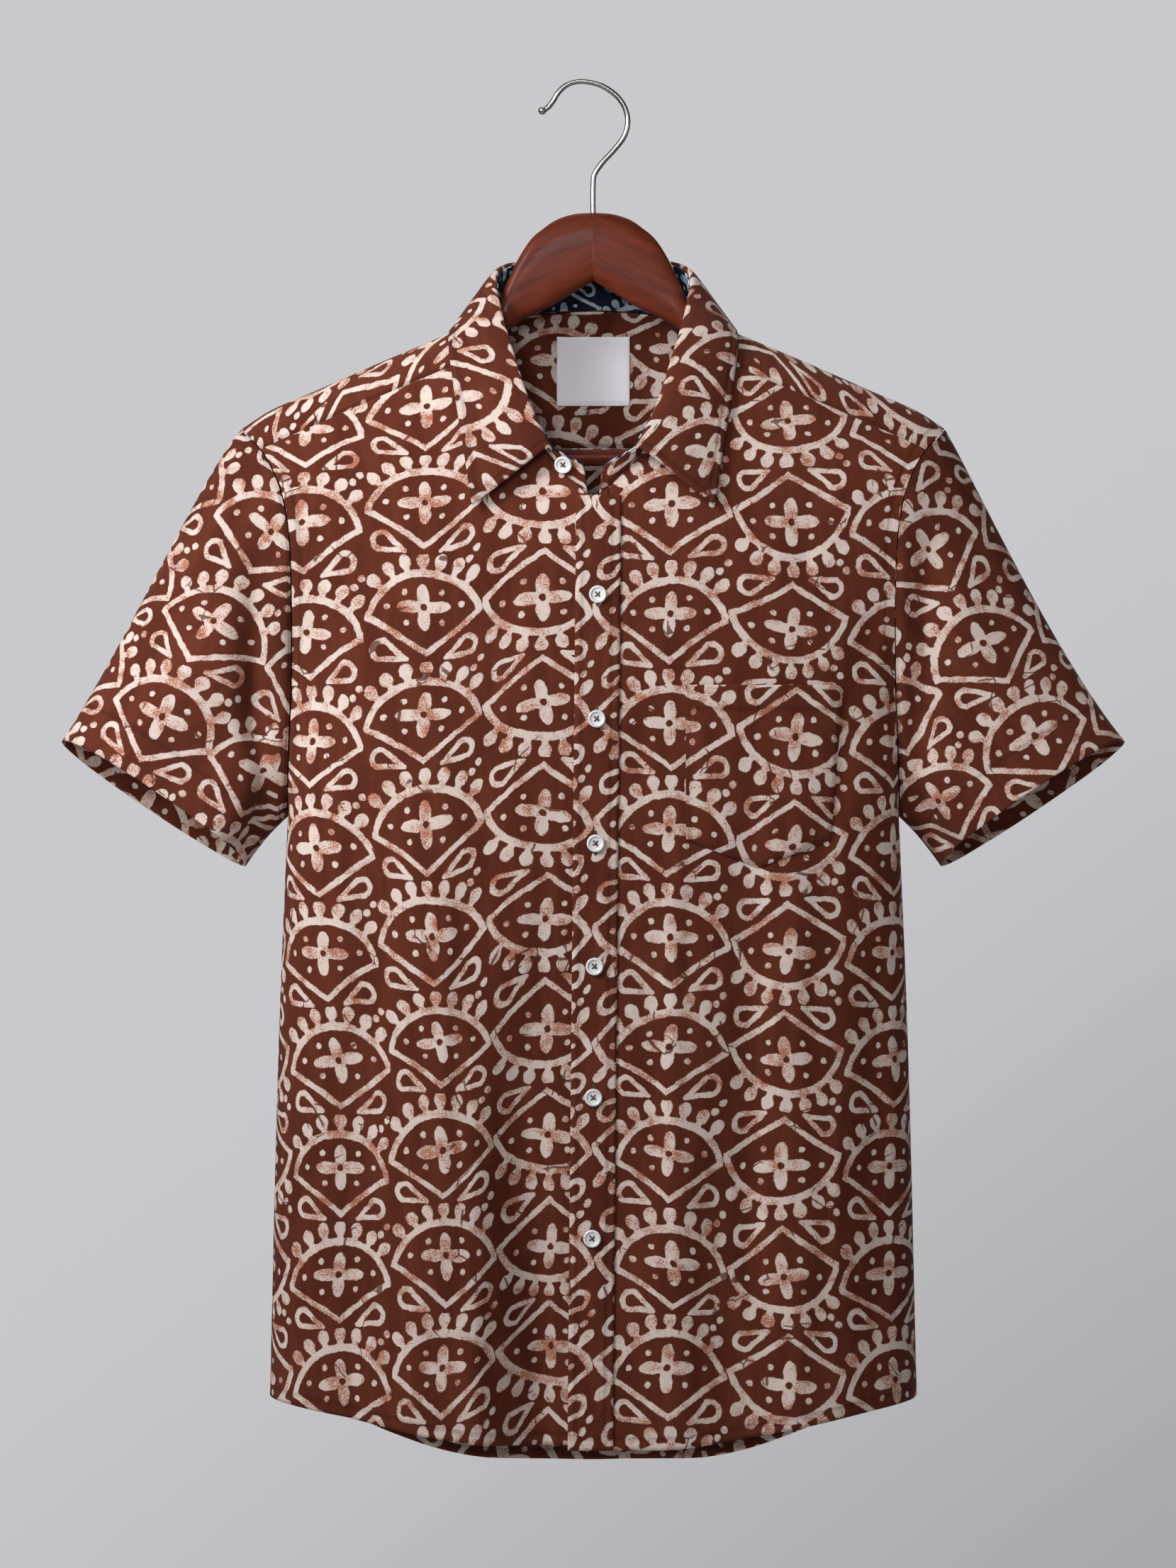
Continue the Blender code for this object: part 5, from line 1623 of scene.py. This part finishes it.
def mix_colour(tree, share, first, second):
    """A colour between two others by a share from 0 to 1."""
    node = tree.nodes.new("ShaderNodeMix")
    node.data_type = "RGBA"
    connect(tree, share, node.inputs["Factor"])
    for value, target in ((first, node.inputs["A"]), (second, node.inputs["B"])):
        connect(tree, value if not isinstance(value, tuple) else (*value, 1.0), target)
    return node.outputs["Result"]


def mix_socket(tree, share, first, second):
    """A Mix node between colours that finds its colour sockets by kind."""
    node = tree.nodes.new("ShaderNodeMix")
    node.data_type = "RGBA"
    connect(tree, share, node.inputs[0])
    for value, target in ((first, node.inputs[6]), (second, node.inputs[7])):
        connect(tree, (*value, 1.0) if isinstance(value, tuple) else value, target)
    return node.outputs[2]


def printed_cloth(name, ground, ground_light, pale, rust, size=1.0, inside_shade=0.0, turned=1.0):
    """Printed cotton: ground and marks from the print, a weave on both, and sewn lines with painted shade along them; a
    share darkens the whole as painted shade for the inside faces.
    """
    made = bpy.data.materials.new(name)
    made.use_nodes = True
    tree = made.node_tree
    shader = tree.nodes["Principled BSDF"]
    cloth = tree.nodes.new("ShaderNodeUVMap")
    cloth.uv_map = "cloth"
    flat = cloth.outputs["UV"]
    marks = place_group(tree, PRINT, Cloth=flat, Size=size, Turned=turned)
    weave = place_group(tree, WEAVE, Cloth=flat)
    line = tree.nodes.new("ShaderNodeAttribute")
    line.attribute_name = "stitch_line"
    seam = place_group(tree, SEAM, Distance=line.outputs["Fac"], Cloth=flat)
    share = Field(tree, marks.outputs["Ground"])
    base = mix_socket(tree, band(share, 0.30, 0.75), ground, ground_light)
    mark = mix_socket(tree, marks.outputs["Rust"], pale, rust)
    printed = mix_socket(tree, marks.outputs["Print"], base, mark)
    shade = Field(tree, weave.outputs["Shade"])
    # The yarns' own tone, less the painted shade along the sewn lines
    tone_and_seam_shade = (shade - 0.5) * 0.85 + 1.0 - Field(tree, seam.outputs["Seam Shade"]) * 0.22
    lit = tree.nodes.new("ShaderNodeVectorMath")
    lit.operation = "SCALE"
    connect(tree, printed, lit.inputs[0])
    # Painted shade: the inside copies scale the whole colour down by their share
    connect(tree, tone_and_seam_shade * (1.0 - inside_shade), lit.inputs["Scale"])
    connect(tree, lit.outputs[0], shader.inputs["Base Color"])
    shader.inputs["Roughness"].default_value = 0.88
    shader.inputs["Specular IOR Level"].default_value = 0.14
    shader.inputs["Sheen Weight"].default_value = 0.03
    shader.inputs["Sheen Roughness"].default_value = 0.5
    rise = Field(tree, weave.outputs["Relief"]) * 0.00010 + Field(tree, seam.outputs["Height"]) * 0.0006
    bump = tree.nodes.new("ShaderNodeBump")
    bump.inputs["Strength"].default_value = 0.8
    bump.inputs["Distance"].default_value = 1.0
    connect(tree, rise, bump.inputs["Height"])
    connect(tree, bump.outputs["Normal"], shader.inputs["Normal"])
    return made


GROUND, GROUND_LIGHT = (0.080, 0.0160, 0.0072), (0.121, 0.0272, 0.0130)
PALE, RUST = (0.655, 0.536, 0.476), (0.375, 0.130, 0.074)
COTTON = (GROUND, GROUND_LIGHT, PALE, RUST)
cotton = printed_cloth("brown printed cotton", *COTTON)
# The wrong side's copies are painted a tenth darker, as painted shade inside the shirt
cotton_inside = printed_cloth("brown printed cotton, wrong side", *COTTON, inside_shade=0.10)
sleeve_cotton = printed_cloth("brown printed cotton, sleeve cut", *COTTON, turned=0.0)
sleeve_inside = printed_cloth("brown printed cotton, sleeve's wrong side", *COTTON, inside_shade=0.10, turned=0.0)
NAVY, NAVY_LIGHT = (0.006, 0.009, 0.020), (0.012, 0.018, 0.036)
facing_cotton = printed_cloth("navy printed cotton", NAVY, NAVY_LIGHT, (0.50, 0.55, 0.62), (0.20, 0.30, 0.48), size=1.6)
print("cloth materials made")


# %% Satin, thread and button materials
def plain_shader(name, roughness, **settings):
    """A material with its shader, and its constants set on the shader's own sockets."""
    made = bpy.data.materials.new(name)
    made.use_nodes = True
    shader = made.node_tree.nodes["Principled BSDF"]
    shader.inputs["Roughness"].default_value = roughness
    for title, value in settings.items():
        shader.inputs[title.replace("_", " ")].default_value = value
    return made, made.node_tree, shader


def object_place(tree):
    """Object coordinates, which here are metres in the model's frame."""
    return tree.nodes.new("ShaderNodeTexCoord").outputs["Object"]


satin, tree, shader = plain_shader("white label satin", 0.42, Specular_IOR_Level=0.5, Sheen_Weight=0.2)
cloth = tree.nodes.new("ShaderNodeUVMap")
cloth.uv_map = "cloth"
floats, _ = noise(tree, scaled(tree, cloth.outputs["UV"], (0.12, 1.0, 1.0)), 3000.0, 2.0, 0.6)
line = tree.nodes.new("ShaderNodeAttribute")
line.attribute_name = "stitch_line"
seam = place_group(tree, SEAM, Distance=line.outputs["Fac"], Cloth=cloth.outputs["UV"])
connect(tree, mix_socket(tree, floats, (0.84, 0.81, 0.85), (0.93, 0.91, 0.94)), shader.inputs["Base Color"])
bump = tree.nodes.new("ShaderNodeBump")
bump.inputs["Distance"].default_value = 1.0
connect(tree, floats * 0.00006 + Field(tree, seam.outputs["Height"]) * 0.0004, bump.inputs["Height"])
connect(tree, bump.outputs["Normal"], shader.inputs["Normal"])


def thread_material(name, dark, light):
    """Twisted thread: fine bands of two shades across a small noise."""
    made, tree, shader = plain_shader(name, 0.62, Sheen_Weight=0.2)
    value, _ = noise(tree, object_place(tree), 5200.0, 1.0)
    connect(tree, mix_socket(tree, band(value, 0.35, 0.65), dark, light), shader.inputs["Base Color"])
    return made


brown_thread = thread_material("brown sewing thread", (0.070, 0.018, 0.010), (0.150, 0.045, 0.026))
dark_thread = thread_material("dark button thread", (0.030, 0.008, 0.005), (0.085, 0.024, 0.014))
white_thread = thread_material("white label thread", (0.42, 0.40, 0.42), (0.72, 0.70, 0.72))

shell, tree, shader = plain_shader("milky white button", 0.22, Specular_IOR_Level=0.6, Coat_Weight=0.25, Coat_Roughness=0.12)
cloud, _ = noise(tree, object_place(tree), 260.0, 3.0, 0.6)
connect(tree, mix_socket(tree, band(cloud, 0.3, 0.7), (0.66, 0.655, 0.66), (0.82, 0.81, 0.81)), shader.inputs["Base Color"])
fine, _ = noise(tree, object_place(tree), 1400.0, 2.0)
connect(tree, fine * 0.12 + 0.16, shader.inputs["Roughness"])
print("satin, thread and button materials made")

# %% Wood and wire materials
wood, tree, shader = plain_shader("varnished reddish wood", 0.4, Specular_IOR_Level=0.10, Coat_Weight=0.05, Coat_Roughness=0.12)
px, py, pz = parts(tree, object_place(tree))
fibre = pz + px.size() * 0.43
broad, _ = noise(tree, joined(tree, px * 9.0, py * 60.0, fibre * 60.0), 2.0, 4.0, 0.6)
pores, _ = noise(tree, joined(tree, px * 60.0, py * 900.0, fibre * 900.0), 1.6, 3.0, 0.7)
colour = mix_socket(tree, band(broad * 0.6 + pores * 0.4, 0.30, 0.70), (0.066, 0.0105, 0.0050), (0.150, 0.0300, 0.0135))
colour = mix_socket(tree, band(pores, 0.60, 0.76) * 0.4, colour, (0.034, 0.005, 0.002))
connect(tree, colour, shader.inputs["Base Color"])
connect(tree, pores * 0.18 + 0.34, shader.inputs["Roughness"])
bump = tree.nodes.new("ShaderNodeBump")
bump.inputs["Distance"].default_value = 1.0
bump.inputs["Strength"].default_value = 0.4
connect(tree, pores * 0.00006 + broad * 0.00010, bump.inputs["Height"])
connect(tree, bump.outputs["Normal"], shader.inputs["Normal"])

wire, tree, shader = plain_shader("polished steel wire", 0.16, Metallic=1.0)
scratch, _ = noise(tree, scaled(tree, object_place(tree), (420.0, 420.0, 120.0)), 1.0, 2.0, 0.5)
connect(tree, mix_socket(tree, scratch, (0.34, 0.335, 0.33), (0.39, 0.385, 0.38)), shader.inputs["Base Color"])
connect(tree, scratch * 0.04 + 0.27, shader.inputs["Roughness"])
print("wood and wire materials made")

# %% [markdown]
# ## Putting the pieces in place
#
# Every new piece stands for its solid in the imported model, rides on the shirt's one body, and
# takes its materials. The area of each cloth piece is printed beside the size it was cut to.


# %% Ride and replace
def wear(piece, node, slot, *materials):
    """Gives a piece its materials and body, and lets it stand for a node if one is named; slot is not used."""
    for material in materials:
        piece.data.materials.append(material)
    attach(piece, "root")
    if node:
        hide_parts(node)


for name, piece in pieces.items():
    if name == "collar_stand_lining":
        wear(piece, name, "stand_lining", facing_cotton, facing_cotton)
    elif name == "neck_label":
        wear(piece, name, "label_satin", satin, satin)
    elif name.startswith("sleeve"):
        wear(piece, name, "shirt_cloth", sleeve_cotton, sleeve_inside)
    else:
        wear(piece, name, "shirt_cloth", cotton, cotton_inside)
for name, piece in sewing.items():
    label = name == "neck_label"
    wear(piece, None, "label_satin" if label else "shirt_cloth", white_thread if label else brown_thread)
wear(holes, None, "shirt_cloth", dark_thread)
for name, (button, thread) in buttons.items():
    wear(button, name, "button_shell", shell)
    wear(thread, None, "shirt_cloth", dark_thread)
for name, piece in hanger.items():
    wear(piece, name, "hook_steel" if name == "hanger_hook" else "hanger_wood", wire if name == "hanger_hook" else wood)
print("pieces:", len(pieces) + len(sewing) + 1 + 2 * len(buttons) + len(hanger))


# %% Cloth areas
def cloth_area(piece):
    """Area of a piece's one layer, before its thickness."""
    area = np.zeros(len(piece.data.polygons))
    piece.data.polygons.foreach_get("area", area)
    return float(area.sum())


# Width and length of the flat piece that shows, and what carries it
CUTS = {
    "front_right": (0.290, 0.716, ["hanger_arm_right_wood"]),
    "front_left": (0.244, 0.716, ["hanger_arm_left_wood"]),
    "back": (0.494, 0.694, ["yoke_cloth"]),
    "yoke": (0.496, 0.143, ["hanger_arm_right_wood", "hanger_arm_left_wood"]),
    "sleeve_right": (0.426, 0.255, ["yoke_cloth"]),
    "sleeve_left": (0.426, 0.255, ["yoke_cloth"]),
    "collar_stand": (0.499, 0.033, ["yoke_cloth"]),
    "collar_stand_lining": (0.491, 0.034, ["collar_stand_cloth"]),
    "collar_leaf": (0.520, 0.065, ["collar_stand_cloth"]),
    "front_band": (0.030, 0.616, ["front_left_cloth"]),
    "chest_pocket": (0.104, 0.118, ["front_left_cloth"]),
    "neck_label": (0.049, 0.047, ["yoke_cloth"]),
}
for name, (wide, long, carried) in CUTS.items():
    area = cloth_area(pieces[name])
    print(name, "cloth area", round(area, 4), "of", round(wide * long, 4))
    [sewing[name]] if name in sewing else []

# %% [markdown]
# ## Light, floor and camera
#
# The studio light is a wide soft source high on the left, a weaker one on the right and a pale
# room round them. The camera stands three metres away with a long lens, level with the chest.

# %% Floor
angle = np.arange(96) / 96 * 2 * math.pi
radius = np.array([0, 0.8, 1.6, 2.4])[:, None]
disc = np.stack([radius * np.cos(angle), radius * np.sin(angle), 0 * radius + 0 * angle - 1.62], -1)
floor = new_mesh("pale_floor", disc, grid_faces(4, 96, ring=True)[:, ::-1], merge=1e-6)
paint, tree, shader = plain_shader("pale floor paint", 0.8)
value, _ = noise(tree, object_place(tree), 3.0, 2.0)
connect(tree, mix_socket(tree, value, (0.84, 0.84, 0.85), (0.89, 0.89, 0.90)), shader.inputs["Base Color"])
floor.data.materials.append(paint)

# %% Light
def soft_light(name, place, target, size, power, cone=0.0):
    """A square light at a place, turned to look at a target; with a cone in degrees it is a soft spot."""
    lamp = bpy.data.lights.new(name, "SPOT" if cone else "AREA")
    lamp.energy = power
    if cone:
        lamp.shadow_soft_size, lamp.spot_size, lamp.spot_blend = size, math.radians(cone), 1.0
    else:
        lamp.size = size
    made = bpy.data.objects.new(name, lamp)
    made.visible_camera = False
    bpy.context.scene.collection.objects.link(made)
    way = np.array(target, float) - np.array(place, float)
    yaw = math.atan2(way[1], way[0]) - math.pi / 2
    made.location = place
    made.rotation_euler = (math.atan2(math.hypot(way[0], way[1]), -way[2]), 0, yaw)


soft_light("key light", (-1.02, -0.92, 0.40), (-0.05, 0.0, -0.42), 0.6, 25.4)
soft_light("front light", (-0.15, -1.7, 0.35), (0.0, 0.0, -0.25), 0.35, 5.5)
soft_light("fill light", (1.7, -2.0, 0.1), (0.1, 0.0, -0.4), 1.0, 5.0)
soft_light("top light", (-0.1, 0.5, 1.4), (0.0, 0.0, -0.4), 1.2, 8.0)
soft_light("back light", (0.6, 2.6, 0.5), (0.0, 0.0, -0.45), 1.5, 32.0)
soft_light("neck light", (-0.22, -1.5, -0.10), (-0.01, 0.0, -0.20), 0.12, 34.0, cone=12.0)
soft_light("left sleeve light", (-0.95, -1.40, -0.10), (-0.300, 0.0, -0.42), 0.15, 44.0, cone=15.0)
soft_light("right sleeve light", (0.20, -1.60, 0.10), (0.305, 0.0, -0.41), 0.15, 36.0, cone=14.0)

# %% Backdrop
# The room lights the shirt softly, and a paler backdrop, with painted light that falls off towards
# the lower right, is what the camera sees behind it
world = bpy.data.worlds.new("pale room")
world.use_nodes = True
tree = world.node_tree
room = tree.nodes["Background"]
room.inputs["Color"].default_value = (0.640, 0.645, 0.655, 1)
room.inputs["Strength"].default_value = 0.13
wx, _, wz = parts(tree, tree.nodes.new("ShaderNodeTexCoord").outputs["Generated"])
# Painted light: the backdrop's colour goes from bright at the upper left to darker at the lower right
fall = band(wz * 1.6 - wx * 1.2, -0.55, 0.02)
backdrop = tree.nodes.new("ShaderNodeBackground")
connect(tree, mix_socket(tree, fall, (0.365, 0.360, 0.375), (0.585, 0.583, 0.604)), backdrop.inputs["Color"])
seen = tree.nodes.new("ShaderNodeMixShader")
rays = tree.nodes.new("ShaderNodeLightPath")
tree.links.new(rays.outputs["Is Camera Ray"], seen.inputs[0])
tree.links.new(room.outputs[0], seen.inputs[1])
tree.links.new(backdrop.outputs[0], seen.inputs[2])
tree.links.new(seen.outputs[0], tree.nodes["World Output"].inputs[0])
bpy.context.scene.world = world
bpy.context.scene.view_settings.view_transform = "Standard"

# %% Camera
lens = bpy.data.cameras.new("camera")
lens.lens, lens.sensor_width = 104.5, 36
camera = bpy.data.objects.new("camera", lens)
camera.location = (-0.0035, -3.0, -0.4605)
camera.rotation_euler = (math.radians(90), 0, 0)
bpy.context.scene.collection.objects.link(camera)
bpy.context.scene.camera = camera
